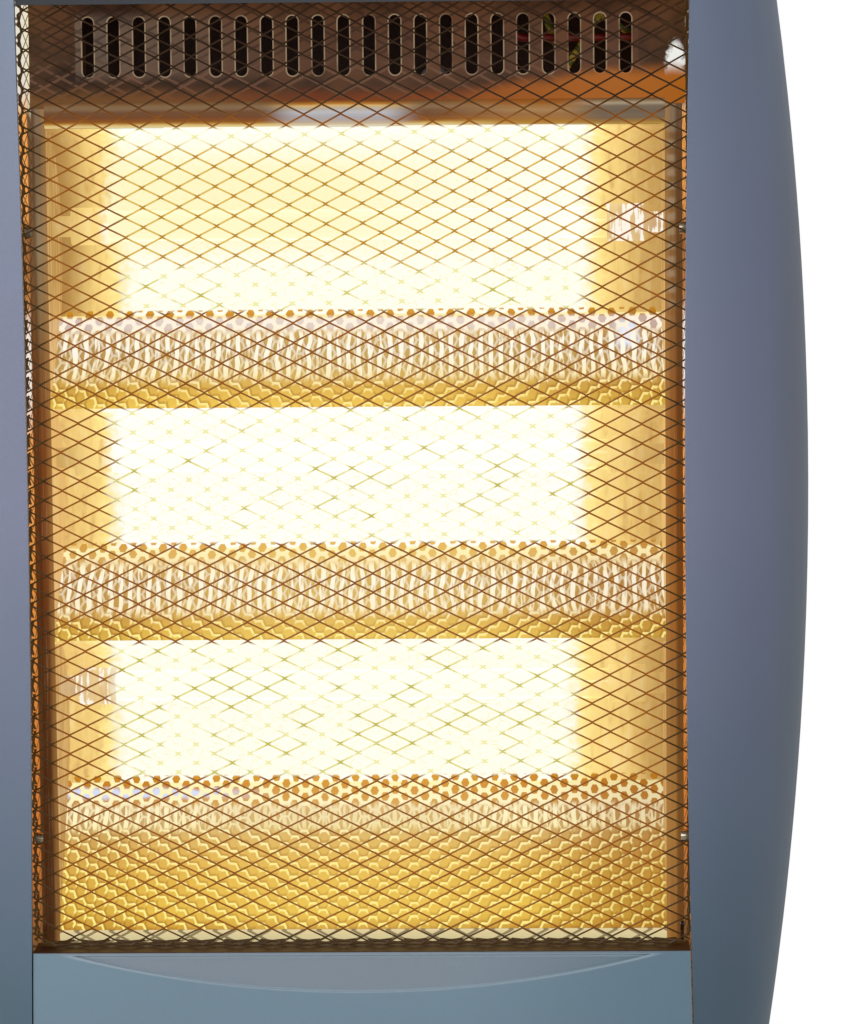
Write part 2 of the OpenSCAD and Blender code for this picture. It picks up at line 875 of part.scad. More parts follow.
module top_cover() {
  color([0.36, 0.42, 0.48]) difference() {
    union() {
      between_covers(seam) difference() {
        intersection() {
          shell_block(top_c, 0);
          translate([-head_half_w, -field, open_top]) cube([2 * head_half_w, 2 * field, 2 * top_h]);
        }
        shell_block(top_c, wall);
      }
      both_sides() intersection() {
        y_rod(pad_y - 8, pad_y, handle_x, handle_z, 10);
        along_x(0, 2 * handle_x) translate([0, open_top]) square([pad_y, 2 * top_h]);
      }
    }
    both_sides() y_rod(30, 70, handle_x, handle_z, 3.2);
    translate([-control_x, control_y, head_top - 10]) cylinder(h = 20, r = 5);
    translate([control_x - 8.5, control_y - 11.5, head_top - 10]) cube([17, 23, 20]);
  }
}

module rear_panel() {
  color([0.5, 0.52, 0.56]) difference() {
    between_covers(seam + panel_side_gap) along_x(-head_half_w, head_half_w) intersection() {
      difference() {
        disc_2d(rear_c, rear_r - panel_inset, fine);
        disc_2d(rear_c, rear_r - panel_inset - sheet_steel, fine);
      }
      translate([0, rear_bot + seam]) square([field, open_top - rear_bot - 2 * seam]);
    }
    along_y(0, field) louvres();
    for (z = rear_screw_z) both_sides() y_rod(0, field, rear_screw_x, z, panel_hole_r);
  }
}

// three banks of round-ended louvre slots, (x, z)
module louvres() {
  for (bank = [0:2], row = [0:louvre_rows - 1], side = [-1, 1])
    translate([side * louvre_x, louvre_bank_z + bank * louvre_bank_pitch + row * louvre_pitch])
      rotate(90) slot_2d([0, 0], louvre_w, louvre_len);
}

function rear_y(z, inset) = rear_c[0] + chord(rear_r - inset, z - rear_c[1]);

// rear face of a side plate at level z, inside the curve of the side cover
function barrel_y(z) =
  cover_y
  + chord(cover_r - wall - plate_gap, plate_x + plate_th - torus_x - chord(barrel_r - cover_r, z - barrel_z));
function tab_y(z) = min(rear_y(z, 3.8), barrel_y(z - tab_w / 2), barrel_y(z + tab_w / 2)) - seat;

module rear_screws() {
  color([0.25, 0.25, 0.27]) both_sides() for (z = rear_screw_z) {
    y = rear_y(z, panel_inset) + 3 * abs(z - barrel_z) / rear_r + seat;
    y_rod(y, y + 1.6, rear_screw_x, z, 3);
    y_rod(tab_y(z) - 4, y + eps, rear_screw_x, z, 1.6);
  }
}

module carry_handle() {
  z = handle_z;
  color([0.12, 0.12, 0.13]) {
    both_sides() {
      y_rod(pad_y - 11, pad_y + 1, handle_x, z, 3);
      y_rod(pad_y, pad_y + 3, handle_x, z, 9.5);
      y_rod(pad_y + 2, bar_y - bend_r, handle_x, z, handle_r);
      translate([handle_x - bend_r, bar_y - bend_r, z])
        rotate_extrude(angle = 90) translate([bend_r, 0]) circle(r = handle_r);
    }
    x_rod(-handle_x + bend_r, handle_x - bend_r, bar_y, z, handle_r);
  }
}

module handle_nuts() {
  color([0.6, 0.6, 0.62]) both_sides()
    difference() {
      y_rod(pad_y - 11, pad_y - 8, handle_x, handle_z, 6);
      y_rod(pad_y - 12, pad_y - 7, handle_x, handle_z, 3.05);
    }
}

// ---- chassis and heating section ----

module right_side_plate() {
  color([0.8, 0.8, 0.82]) difference() {
    union() {
      intersection() {
        along_x(plate_x, plate_x + plate_th) intersection() {
          polygon([
            [-50, open_bot - 50], [-38, plate_bot], [30, plate_bot], [36, open_bot - 44], [60, open_bot - 44],
            [60, open_top + 16], [26, plate_top], [-36, plate_top], [-50, open_top + 16]
          ]);
          disc_2d(rear_c, rear_r - panel_inset - sheet_steel - seat, fine);
          side_outline(wall + plate_gap);
        }
        barrel(wall + plate_gap);
      }
      translate([plate_x - flange_w, -36, plate_bot]) cube([flange_w + eps, 64, plate_th]);
      for (z = rear_screw_z) translate([rear_screw_x - 5, tab_y(z) - tab_t, z - tab_w / 2])
        cube([plate_x - rear_screw_x + 5 + eps, tab_t, tab_w]);
    }
    for (p = cover_screw_yz) x_rod(plate_x - 1, plate_x + 2, p[0], p[1], cover_screw_r + 0.1);
    for (z = rear_screw_z) y_rod(0, field, rear_screw_x, z, panel_hole_r - 0.1);
    for (z = clip_z) x_rod(plate_x - 1, plate_x + 2, clip_y, z, clip_hole_r);
  }
}

module left_side_plate() {
  mirror([1, 0, 0]) right_side_plate();
}

// (x, y) section of a post: front flange, web beside the troughs and rear flange to the side plate
module post_2d() {
  translate([trough_x, flange_y]) square([post_out - trough_x, web_t]);
  translate([trough_x, flange_y]) square([web_t, post_depth]);
  translate([trough_x, flange_y + post_depth - web_t]) square([plate_x - trough_x, web_t]);
}

module right_post() {
  color([0.42, 0.37, 0.34]) difference() {
    translate([0, 0, open_bot - 4]) linear_extrude(height = bar_top - 2 - open_bot + 4) post_2d();
    for (z = lamp_z) x_rod(trough_x - 1, trough_x + 2, lamp_y, z, cap_neck_r + 0.1);
  }
}

module left_post() {
  mirror([1, 0, 0]) right_post();
}

module top_bar() {
  color([0.75, 0.76, 0.8]) along_x(-trough_x, trough_x) difference() {
    rounded_2d([flange_y - 3, bar_bot], [flange_y + 4, bar_top], 2.6);
    rounded_2d([flange_y - 2.2, bar_bot + 0.8], [flange_y + 3.2, bar_top - 0.8], 1.8);
  }
}

module bottom_rail() {
  color([0.8, 0.78, 0.74]) along_x(-trough_x, trough_x) {
    translate([flange_y - 1, open_bot - 6]) square([0.8, rail_top - open_bot + 6]);
    translate([flange_y - 1, open_bot - 6]) square([8, 0.8]);
    translate([flange_y - 1, rail_top - 0.8]) square([2.6, 0.8]);
  }
}

// (y, z) section of one trough about its lamp: an arc behind the lamp and a flat lower wing
module trough_2d(top, bottom) {
  lip = flange_y - lamp_y;
  v = [trough_d + lip, -wing_rise];
  p1 = [lip, top];
  p0 = [lip, bottom];
  reach = norm(v - p1);
  r = reach * arc_share;
  mid = (v + p1) / 2;
  n = [-(p1[1] - v[1]), p1[0] - v[0]] / reach;
  c = mid + n * chord(r, reach / 2);
  overlap = 1.5;
  a0 = atan2(v[1] - c[1], v[0] - c[0]) - overlap;
  a1 = atan2(p1[1] - c[1], p1[0] - c[0]);
  intersection() {
    difference() {
      disc_2d(c, r + sheet, fine);
      disc_2d(c, r, fine);
    }
    polygon(concat([c], [for (a = [a0:(a1 - a0) / 4:a1 + eps]) c + 2 * r * [cos(a), sin(a)]]));
  }
  w = (v - p0) / norm(v - p0);
  down = [w[1], -w[0]] * sheet;
  polygon([p0, p0 + down, v + down, v]);
}

module reflector(k) {
  top = k == 0 ? bar_bot - crown_gap - lamp_z[0] : lip_rise - lip_gap;
  bottom = k == 2 ? rail_top + sheet + seat - lamp_z[2] : lip_rise + lip_gap - lamp_pitch;
  color([0.86, 0.78, 0.6]) along_x(-trough_x, trough_x) translate([lamp_y, lamp_z[k]]) trough_2d(top, bottom);
}

module reflector_top() {
  reflector(0);
}

module reflector_middle() {
  reflector(1);
}

module reflector_bottom() {
  reflector(2);
}

module lamp_tube(k) {
  color([0.95, 0.9, 0.75, 0.5]) difference() {
    x_rod(-tube_len / 2, tube_len / 2, lamp_y, lamp_z[k], tube_r);
    x_rod(-tube_len / 2 + plug, tube_len / 2 - plug, lamp_y, lamp_z[k], tube_r - tube_wall);
  }
}

module lamp_tube_top() {
  lamp_tube(0);
}

module lamp_tube_middle() {
  lamp_tube(1);
}

module lamp_tube_bottom() {
  lamp_tube(2);
}

module filaments() {
  color([1, 0.75, 0.3])
    for (z = lamp_z) x_rod(-tube_len / 2 + plug, tube_len / 2 - plug, lamp_y, z, filament_r);
}

module end_caps() {
  color([0.93, 0.91, 0.87]) both_sides() for (z = lamp_z) difference() {
    union() {
      x_rod(cap_x0, cap_x1, lamp_y, z, tube_r + cap_wall);
      x_rod(cap_x1 - eps, trough_x + neck_out, lamp_y, z, cap_neck_r);
    }
    x_rod(cap_x0 - 1, tube_len / 2, lamp_y, z, tube_r + 0.02);
  }
}

module lamp_terminals() {
  color([0.75, 0.72, 0.6]) both_sides() for (z = lamp_z) difference() {
    translate([trough_x + neck_out, lamp_y - 2, z - 3])
      cube([1, bus[1] - wire_r - lamp_y + 2, 6]);
    x_rod(trough_x, trough_x + 10, lamp_y, z, 1);
  }
}

module vent_plate() {
  color([0.3, 0.24, 0.16]) difference() {
    union() {
      translate([-plate_x, vent_y, vent_low]) cube([2 * plate_x, plate_th, vent_top - vent_low]);
      translate([-plate_x + plate_th, hood_y, vent_top - plate_th])
        cube([2 * (plate_x - plate_th), vent_y - hood_y + eps, plate_th]);
      both_sides() translate([plate_x - plate_th, vent_y, vent_low])
        cube([plate_th, 12, vent_top - vent_low]);
      along_x(-trough_x, trough_x) translate([flange_y + 4, vent_low])
        square([vent_y - flange_y - 4 + eps, plate_th]);
    }
    along_y(vent_y - 2, vent_y + 3)
      for (i = [0:vent_count - 1])
        slot_2d([(i - (vent_count - 1) / 2) * vent_pitch, vent_z], vent_w, vent_len);
  }
}

module thermal_cutout() {
  x = 26;
  z = bar_top + 6;
  color([0.15, 0.15, 0.16]) {
    y_rod(vent_y + plate_th, vent_y + 6, x, z, 5);
    translate([x - 8, vent_y + plate_th, z - 1.5]) cube([16, 1, 3]);
    for (s = [-1, 1]) translate([x + s * 2.5 - 0.4, vent_y + 6 - eps, z - 1.5]) cube([0.8, 4, 3]);
  }
}

module red_wires() {
  switch_z = head_top - wall - 22;
  color([0.8, 0.12, 0.06]) {
    route([
      [bus[0], lamp_z[2]], [bus[0], vent_z + 2], [52, vent_z + 2], [52, switch_z + 3],
      [-control_x + 15, switch_z + 3]
    ], bus[1], wire_r);
    route([[-bus[0], lamp_z[2]], [-bus[0], switch_z + 6], [-control_x - 15, switch_z + 6]], bus[1], wire_r);
    route([[26, bar_top + 6], [26, switch_z + 9], [-control_x + 15, switch_z + 9]], vent_y + 11.2, wire_r);
  }
}

module earth_wire() {
  color([0.6, 0.72, 0.1]) wire([
    [plate_x - 1, -4, vent_z - 8],
    [82, -9, vent_z + 10],
    [70, -9, vent_z - 9],
    [58, -5, open_top + 12],
    [-control_x + 15.6, control_y + 8, open_top + 27]
  ], 1.2);
}

// ---- front grille ----

module grille_2d(x0, x1, z0, z1) {
  hole_w = mesh_w - 2 * strand * mesh_w / mesh_h / 1.4;
  hole_h = hole_w * mesh_h / mesh_w;
  cols = floor((x1 - x0) / mesh_w / 2 + 0.5);
  rows = floor((z1 - z0) / mesh_h);
  difference() {
    translate([x0, z0]) square([x1 - x0, z1 - z0]);
    intersection() {
      translate([x0 + strand, z0 + strand]) square([x1 - x0 - 2 * strand, z1 - z0 - 2 * strand]);
      for (j = [0:2 * rows + 1], i = [-cols:cols])
        translate([(i + (j % 2) / 2) * mesh_w, z0 + j * mesh_h / 2])
          polygon([[-hole_w / 2, 0], [0, -hole_h / 2], [hole_w / 2, 0], [0, hole_h / 2]]);
    }
  }
}

module front_grille() {
  color([0.2, 0.14, 0.08]) {
    along_y(grille_y, grille_y + mesh_t) grille_2d(-grille_x, grille_x, open_bot + 0.5, open_top + 5);
    both_sides() difference() {
      translate([grille_x - grille_flange_t, grille_y, open_bot + 0.5])
        cube([grille_flange_t, flange_y - grille_y, open_top - open_bot + 4.5]);
      for (z = clip_z) x_rod(grille_x - 2, grille_x + 1, clip_y, z, clip_hole_r);
    }
  }
}

module grille_clips() {
  color([0.25, 0.22, 0.2]) both_sides() for (z = clip_z) {
    x_rod(clip_seat_x - clip_h, clip_seat_x, clip_y, z, clip_r);
    x_rod(clip_seat_x - eps, plate_x + 4, clip_y, z, clip_hole_r - 0.1);
  }
}

// ---- controls ----

module selector_switch() {
  color([0.1, 0.1, 0.11]) difference() {
    union() {
      translate([-control_x - 15, control_y - 13, head_top - wall - 22]) cube([30, 26, 22]);
      translate([-control_x, control_y, head_top - wall - eps]) cylinder(h = wall, r = 4.8);
    }
    translate([-control_x, control_y, head_top - wall - 12]) cylinder(h = 30, r = 3.05);
  }
}

module selector_knob() {
  color([0.15, 0.16, 0.18]) translate([-control_x, control_y, 0]) {
    translate([0, 0, head_top - wall - 11]) cylinder(h = knob_z - head_top + wall + 12, r = 3);
    difference() {
      union() {
        translate([0, 0, knob_z]) cylinder(h = 3, r = knob_r);
        translate([0, 0, knob_z + 3 - eps]) cylinder(h = 2, r1 = knob_r - 1, r2 = knob_r - 3);
        translate([0, 0, knob_z + 4]) linear_extrude(height = 11) rotate(90)
          slot_2d([0, 0], 9, 2 * knob_r - 5);
      }
      translate([-0.6, knob_r - 10, knob_z + 14]) cube([1.2, 10, 2]);
      for (a = [15:15:345]) rotate(a) translate([knob_r + 0.5, 0, knob_z - 1]) cylinder(h = 5, r = 1.1);
    }
  }
}

module rocker_housing() {
  color([0.1, 0.1, 0.11]) translate([control_x, control_y, 0]) difference() {
    union() {
      translate([-8, -11, head_top - 18]) cube([16, 22, 18 + eps]);
      translate([0, 0, head_top]) linear_extrude(height = 1.2) rounded_2d([-10, -13], [10, 13], 2);
    }
    translate([-5.6, -8.6, head_top - 12]) cube([11.2, 17.2, 20]);
    x_rod(-6.9, 6.9, 0, rocker_pivot_z, 1.55);
  }
}

module swing_rocker() {
  color([0.16, 0.16, 0.17]) translate([control_x, control_y, 0]) {
    along_x(-5.2, 5.2) polygon([
      [-6.8, rocker_pivot_z - 4], [6.8, rocker_pivot_z - 4], [7.4, rocker_pivot_z + 7.5],
      [0, rocker_pivot_z + 5.4], [-7.4, rocker_pivot_z + 7.5]
    ]);
    x_rod(-6.6, 6.6, 0, rocker_pivot_z, 1.5);
  }
}

base_cover();
base_plate();
ballast_ring();
rubber_feet();
base_screws();
pivot_post();
slip_washer();
thrust_washer();
retaining_clip();
anchor_arm();
cord_gland();
terminal_block();
plunger_guide();
tip_plunger();
plunger_spring();
tip_switch();
neck();
neck_screws();
drive_motor();
motor_bracket();
motor_screws();
crank_arm();
motor_shaft();
drive_link();
lower_panel();
bottom_cover();
right_side_cover();
left_side_cover();
cover_screws();
top_cover();
rear_panel();
rear_screws();
carry_handle();
handle_nuts();
right_side_plate();
left_side_plate();
right_post();
left_post();
top_bar();
bottom_rail();
reflector_top();
reflector_middle();
reflector_bottom();
lamp_tube_top();
lamp_tube_middle();
lamp_tube_bottom();
filaments();
end_caps();
lamp_terminals();
vent_plate();
thermal_cutout();
red_wires();
earth_wire();
front_grille();
grille_clips();
selector_switch();
selector_knob();
rocker_housing();
swing_rocker();
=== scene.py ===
import math

import bmesh
import bpy
from mathutils import Matrix, Vector

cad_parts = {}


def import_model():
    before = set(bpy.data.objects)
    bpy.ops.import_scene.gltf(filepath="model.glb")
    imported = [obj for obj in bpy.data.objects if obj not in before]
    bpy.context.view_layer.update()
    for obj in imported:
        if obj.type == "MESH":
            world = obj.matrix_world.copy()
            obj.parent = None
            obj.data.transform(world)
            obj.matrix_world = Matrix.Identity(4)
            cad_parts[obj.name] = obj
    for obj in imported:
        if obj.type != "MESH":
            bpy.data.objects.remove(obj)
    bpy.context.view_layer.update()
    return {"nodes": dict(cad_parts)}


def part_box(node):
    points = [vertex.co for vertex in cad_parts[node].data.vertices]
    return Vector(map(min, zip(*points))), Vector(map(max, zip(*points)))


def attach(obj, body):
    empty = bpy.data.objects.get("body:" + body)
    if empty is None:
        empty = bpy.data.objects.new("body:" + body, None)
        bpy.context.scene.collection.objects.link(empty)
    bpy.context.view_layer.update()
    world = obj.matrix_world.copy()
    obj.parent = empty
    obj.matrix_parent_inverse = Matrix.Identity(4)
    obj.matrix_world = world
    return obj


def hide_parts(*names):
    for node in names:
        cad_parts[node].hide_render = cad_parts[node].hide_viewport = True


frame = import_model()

NODES = frame["nodes"]
MM = 0.001

# ---- camera ----

PHOTO_HEIGHT = 1024
FOCAL_PIXELS = 4000
SENSOR = 36.0
FARTHEST_SEEN = 30
CAMERA_PLACE = Vector((0.05305, -1.37043, 0.40752))
CAMERA_YAW, CAMERA_PITCH, CAMERA_ROLL = -0.022134, -0.105267, -0.008946


def camera_axes():
    ahead = Vector((
        math.sin(CAMERA_YAW) * math.cos(CAMERA_PITCH),
        math.cos(CAMERA_YAW) * math.cos(CAMERA_PITCH),
        math.sin(CAMERA_PITCH),
    ))
    level_right = Vector((math.cos(CAMERA_YAW), -math.sin(CAMERA_YAW), 0))
    level_up = level_right.cross(ahead)
    right = level_right * math.cos(CAMERA_ROLL) + level_up * math.sin(CAMERA_ROLL)
    up = level_up * math.cos(CAMERA_ROLL) - level_right * math.sin(CAMERA_ROLL)
    return right, up, -ahead


def place_camera():
    lens = bpy.data.cameras.new("camera")
    lens.sensor_width = SENSOR
    lens.lens = FOCAL_PIXELS / PHOTO_HEIGHT * SENSOR
    lens.clip_end = FARTHEST_SEEN
    camera = bpy.data.objects.new("camera", lens)
    bpy.context.scene.collection.objects.link(camera)
    turn = Matrix(camera_axes()).transposed().to_4x4()
    camera.matrix_world = Matrix.Translation(CAMERA_PLACE) @ turn
    bpy.context.scene.camera = camera


place_camera()

# ---- sizes of the heater in millimetres, from the solids ----


def box_mm(node):
    low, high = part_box(node)
    return low / MM, high / MM


def middle_mm(node):
    low, high = box_mm(node)
    return (low + high) / 2


LAMP_LEVELS = {which: middle_mm("lamp_tube_" + which).z for which in ("top", "middle", "bottom")}
TROUGHS = {which: box_mm("reflector_" + which) for which in LAMP_LEVELS}
LIP_Y = TROUGHS["middle"][0].y
FOLD_Y = -6.0
FOLD_DROP = 28.7
ARC_SHARE = 0.57
DIMPLE_WIDTH = 6.85
DIMPLE_DEPTH = 0.8 * MM

# ---- shader tools ----


def shade(red, green, blue):
    """Linear colour of a hue given in screen bytes."""
    def linear(byte):
        part = byte / 255
        return part / 12.92 if part <= 0.04045 else ((part + 0.055) / 1.055) ** 2.4
    return (linear(red), linear(green), linear(blue), 1.0)


class Tree:
    """Adds shader nodes to a tree and joins them. A value is a socket or a plain number."""

    def __init__(self, tree):
        self.tree = tree

    def fill(self, node, values):
        for key, value in values.items():
            if isinstance(value, bpy.types.NodeSocket):
                self.tree.links.new(value, node.inputs[key])
            else:
                node.inputs[key].default_value = value

    def node(self, kind, values=None, **settings):
        made = self.tree.nodes.new(kind)
        for key, value in settings.items():
            setattr(made, key, value)
        self.fill(made, values or {})
        return made

    def group(self, group, values):
        made = self.node("ShaderNodeGroup", node_tree=group)
        self.fill(made, values)
        return made.outputs

    def math(self, operation, a, b=0.0):
        return self.node("ShaderNodeMath", {0: a, 1: b}, operation=operation).outputs[0]

    def add(self, total, *others):
        for other in others:
            total = self.math("ADD", total, other)
        return total

    def times(self, product, *others):
        for other in others:
            product = self.math("MULTIPLY", product, other)
        return product

    def less(self, a, b):
        return self.math("SUBTRACT", a, b)

    def over(self, a, b):
        return self.math("DIVIDE", a, b)

    def rest(self, a):
        return self.less(1.0, a)

    def either(self, a, b):
        """The larger of two values, or one mask joined to another."""
        return self.math("MAXIMUM", a, b)

    def size(self, a):
        return self.math("ABSOLUTE", a)

    def reach(self, a, b):
        """Length of the long side over two short sides."""
        return self.math("SQRT", self.add(self.times(a, a), self.times(b, b)))

    def repeat(self, value, reach):
        """Wraps a value into the band from -reach to reach."""
        return self.node("ShaderNodeMath", {0: value, 1: reach, 2: -reach}, operation="WRAP").outputs[0]

    def fade(self, value, low, high):
        """0 below low, 1 above high, smooth between them. Turned round where low is above high."""
        spread = {"Value": value, "From Min": min(low, high), "From Max": max(low, high)}
        if low > high:
            spread.update({"To Min": 1.0, "To Max": 0.0})
        return self.node("ShaderNodeMapRange", spread, interpolation_type="SMOOTHSTEP").outputs[0]

    def band(self, value, low, high, soft):
        """1 between low and high, with soft edges."""
        rise = self.fade(value, low - soft, low + soft)
        return self.times(rise, self.fade(value, high + soft, high - soft))

    def between(self, share, a, b):
        """Plain number from a (share 0) to b (share 1)."""
        return self.node("ShaderNodeMix", {0: share, 2: a, 3: b}).outputs[0]

    def mix(self, share, a, b):
        """Colour from a (share 0) to b (share 1)."""
        return self.node("ShaderNodeMix", {0: share, 6: a, 7: b}, data_type="RGBA").outputs[2]

    def hues(self, share, first, second):
        return self.mix(share, shade(*first), shade(*second))

    def lay(self, hue, share, colour, strength=1.0):
        """Lays a hue over a colour where share is 1."""
        if strength != 1.0:
            share = self.times(share, strength)
        return self.mix(share, colour, shade(*hue))

    def ramp(self, value, low, high, stops):
        """Colours over a value from low to high, through stops of (share, red, green, blue)."""
        share = self.over(self.less(value, low), high - low)
        made = self.node("ShaderNodeValToRGB", {0: share})
        elements = made.color_ramp.elements
        while len(elements) < len(stops):
            elements.new(0.5)
        for element, (place, *hue) in zip(elements, stops):
            element.position = place
            element.color = shade(*hue)
        return made.outputs[0]

    def scaled(self, vector, factor):
        return self.node("ShaderNodeVectorMath", {0: vector, 3: factor}, operation="SCALE").outputs[0]

    def place_mm(self):
        """Object coordinates in millimetres, as a vector."""
        return self.scaled(self.node("ShaderNodeTexCoord").outputs["Object"], 1 / MM)

    def split(self, vector):
        return self.node("ShaderNodeSeparateXYZ", {0: vector}).outputs

    def noise(self, vector, scale, detail=2.0):
        made = self.node("ShaderNodeTexNoise", {"Vector": vector, "Scale": scale, "Detail": detail})
        return made.outputs["Fac"]

    def drift(self, vector, scale, detail, width):
        """Random offset round 0, width wide in all."""
        return self.times(self.less(self.noise(vector, scale, detail), 0.5), width)

    def bump(self, height, strength, depth):
        made = self.node("ShaderNodeBump", {"Height": height, "Strength": strength, "Distance": depth})
        return made.outputs[0]


class Look(Tree):
    """A new material: its Principled shader, and each point's place in millimetres."""

    def __init__(self, name):
        self.material = bpy.data.materials.new(name)
        self.material.use_nodes = True
        super().__init__(self.material.node_tree)
        self.shader = self.tree.nodes["Principled BSDF"]
        self.place = self.place_mm()
        self.x, self.y, self.z = self.split(self.place)

    def set(self, values):
        self.fill(self.shader, values)

    def glow(self, colour, strength=1.0):
        self.set({"Emission Color": colour, "Emission Strength": strength})

    def wear(self, *nodes):
        """Puts the material on the named solids in place of what they have."""
        for name in nodes:
            slots = NODES[name].data.materials
            slots.clear()
            slots.append(self.material)

    def ragged(self, value, scale, detail, width):
        """A value with random offsets, width wide in all."""
        return self.add(value, self.drift(self.place, scale, detail, width))

    def drawn_noise(self, x, y, z, scale, detail=2.0):
        """Noise drawn out along each axis whose factor is small."""
        drawn = self.node("ShaderNodeMapping", {"Vector": self.place, "Scale": (x, y, z)}).outputs[0]
        return self.noise(drawn, scale, detail)

    def surface(self, colour, roughness, metallic=0.0, relief=None):
        """How the surface takes light. A relief is its height, strength and depth."""
        self.set({"Base Color": colour, "Roughness": roughness, "Metallic": metallic})
        if relief:
            self.set({"Normal": self.bump(*relief)})

    def on_right(self):
        """1 on the right half of the heater, 0 on the left."""
        return self.fade(self.x, -10.0, 10.0)


def new_group(name, inputs, outputs):
    """A node group; returns the group, its tree, its input sockets and its output node."""
    group = bpy.data.node_groups.new(name, "ShaderNodeTree")
    for direction, sockets in (("INPUT", inputs), ("OUTPUT", outputs)):
        for socket in sockets:
            group.interface.new_socket(name=socket, in_out=direction, socket_type="NodeSocketFloat")
    tree = Tree(group)
    entry = tree.node("NodeGroupInput").outputs
    return group, tree, entry, tree.node("NodeGroupOutput")


# ---- plastics, paint and bought metal parts ----

GRAIN_DEPTH = 0.1 * MM


def grain_group():
    """Fine moulded or sprayed grain with slow mottling: a tint round 1 and a height."""
    group, tree, entry, result = new_group("grain", ("Grain", "Mottle"), ("Tint", "Height"))
    place = tree.place_mm()
    fine = tree.noise(place, 1.6, 3.0)
    slow = tree.noise(place, 0.02)
    grain = tree.times(tree.less(fine, 0.5), entry["Grain"])
    mottle = tree.times(tree.less(slow, 0.5), entry["Mottle"])
    tree.fill(result, {"Tint": tree.add(grain, mottle, 1.0), "Height": fine})
    return group


GRAIN = grain_group()


def grained(look, colour, roughness, metallic=0.0, grain=0.12, mottle=0.08, relief=0.1):
    """Gives a material a colour with grain in its hue, gloss and surface; returns the grained colour."""
    effect = look.group(GRAIN, {"Grain": grain, "Mottle": mottle})
    coat = look.scaled(colour, effect["Tint"])
    gloss = look.times(effect["Tint"], roughness)
    look.surface(coat, gloss, metallic, (effect["Height"], relief, GRAIN_DEPTH))
    return coat


# Material, hue, roughness, how metallic, its other settings and the solids that it covers
PLAIN_FINISHES = (
    # The top cover's dark hue is painted shade, for the shade on its lower front edge
    ("top_moulding", (32, 35, 40), 0.5, 0.0, {}, "top_cover"),
    ("black_plastic", (33, 33, 35), 0.45, 0.0, {"grain": 0.3, "relief": 0.2},
     "carry_handle selector_switch rocker_housing swing_rocker tip_switch plunger_guide cord_gland"
     " thermal_cutout"),
    ("white_plastic", (218, 218, 212), 0.5, 0.0, {}, "terminal_block"),
    ("natural_acetal", (220, 218, 205), 0.4, 0.0, {}, "slip_washer thrust_washer crank_arm tip_plunger"),
    ("foot_rubber", (38, 38, 38), 0.8, 0.0, {"grain": 0.4, "relief": 0.3}, "rubber_feet"),
    ("zinc_sheet", (174, 176, 178), 0.38, 1.0, {"mottle": 0.5},
     "base_plate anchor_arm drive_motor motor_bracket drive_link"),
    ("zinc_hardware", (162, 162, 164), 0.32, 1.0, {"mottle": 0.2},
     "base_screws pivot_post retaining_clip neck_screws motor_screws motor_shaft cover_screws handle_nuts"
     " plunger_spring"),
    ("dark_screws", (62, 54, 50), 0.35, 1.0, {}, "rear_screws"),
    ("grille_screws", (212, 196, 168), 0.22, 1.0, {"grain": 0.3}, "grille_clips"),
    ("cast_ballast", (63, 63, 64), 0.7, 0.6, {"grain": 0.8, "relief": 0.6}, "ballast_ring"),
    ("terminal_brass", (206, 172, 102), 0.35, 1.0, {}, "lamp_terminals"),
    ("red_sleeve", (128, 22, 16), 0.5, 0.0, {}, "red_wires"),
)


def plain_finishes():
    for name, hue, roughness, metallic, settings, nodes in PLAIN_FINISHES:
        look = Look(name)
        grained(look, shade(*hue)[:3], roughness, metallic, **settings)
        look.wear(*nodes.split())

    look = Look("knob_plastic")
    grained(look, shade(140, 148, 158)[:3], 0.3, relief=0.03)
    look.set({"Coat Weight": 0.3})
    look.wear("selector_knob")


def satin_plastic(look, colour):
    grained(look, colour, 0.42, grain=0.1, mottle=0.06)
    look.set({"Specular IOR Level": 0.25})


MOULDING_FOOT, MOULDING_HEAD = 60.0, 474.0
# Painted shade: the covers' outer edges dull over this distance from the middle, and the hue darkens toward
# the foot
COVER_EDGE_SHADE = (134.0, 152.0)
SIDE_SHADED_HUES = [(0.1, 88, 108, 122), (0.5, 130, 134, 156), (0.62, 130, 134, 156), (1.0, 126, 138, 157)]


def side_moulding():
    """Satin grey-blue plastic whose hue drifts from foot to head as painted shade, darkest at the foot, and
    dulls with painted shade at the covers' outer edges.
    """
    look = Look("side_moulding")
    hue = look.ramp(look.z, MOULDING_FOOT, MOULDING_HEAD, SIDE_SHADED_HUES)
    hue = look.lay((98, 108, 108), look.fade(look.size(look.x), *COVER_EDGE_SHADE), hue, 0.5)
    satin_plastic(look, hue)
    look.wear("base_cover", "neck", "bottom_cover", "right_side_cover", "left_side_cover")


CREASE_HALF, CREASE_DROP = 103.4, 14.0


def front_moulding():
    """Panel plastic: a painted highlight along the pressed crescent, a duller painted tone inside it, darker
    to the right, painted shadow on its top face.
    """
    look = Look("front_moulding")
    head = box_mm("lower_panel")[1].z
    curve = (CREASE_HALF ** 2 + CREASE_DROP ** 2) / (2 * CREASE_DROP)
    from_centre = look.reach(look.x, look.less(look.z, head - CREASE_DROP + curve))
    inside = look.fade(from_centre, curve + 0.6, curve - 0.6)
    line = look.times(
        look.band(from_centre, curve - 0.5, curve + 0.3, 0.3), look.fade(look.z, head - 0.8, head - 2.0)
    )
    upper_step = look.times(look.band(look.z, head - 2.2, head - 1.0, 0.3), inside)
    # Painted shade: a duller tone inside the crescent, for its slant to the light
    hue = look.hues(inside, (127, 149, 163), (139, 150, 160))
    # Painted shade: darker toward the right
    hue = look.lay((98, 122, 136), look.fade(look.x, 20.0, 110.0), hue, 0.7)
    # Painted highlights along the crescent's curve and along its upper step
    hue = look.lay((176, 192, 202), look.either(line, upper_step), hue, 0.5)
    # Painted shadow on the top face
    hue = look.lay((60, 36, 22), look.fade(look.z, head - 0.45, head - 0.15), hue)
    satin_plastic(look, hue)
    look.wear("lower_panel")


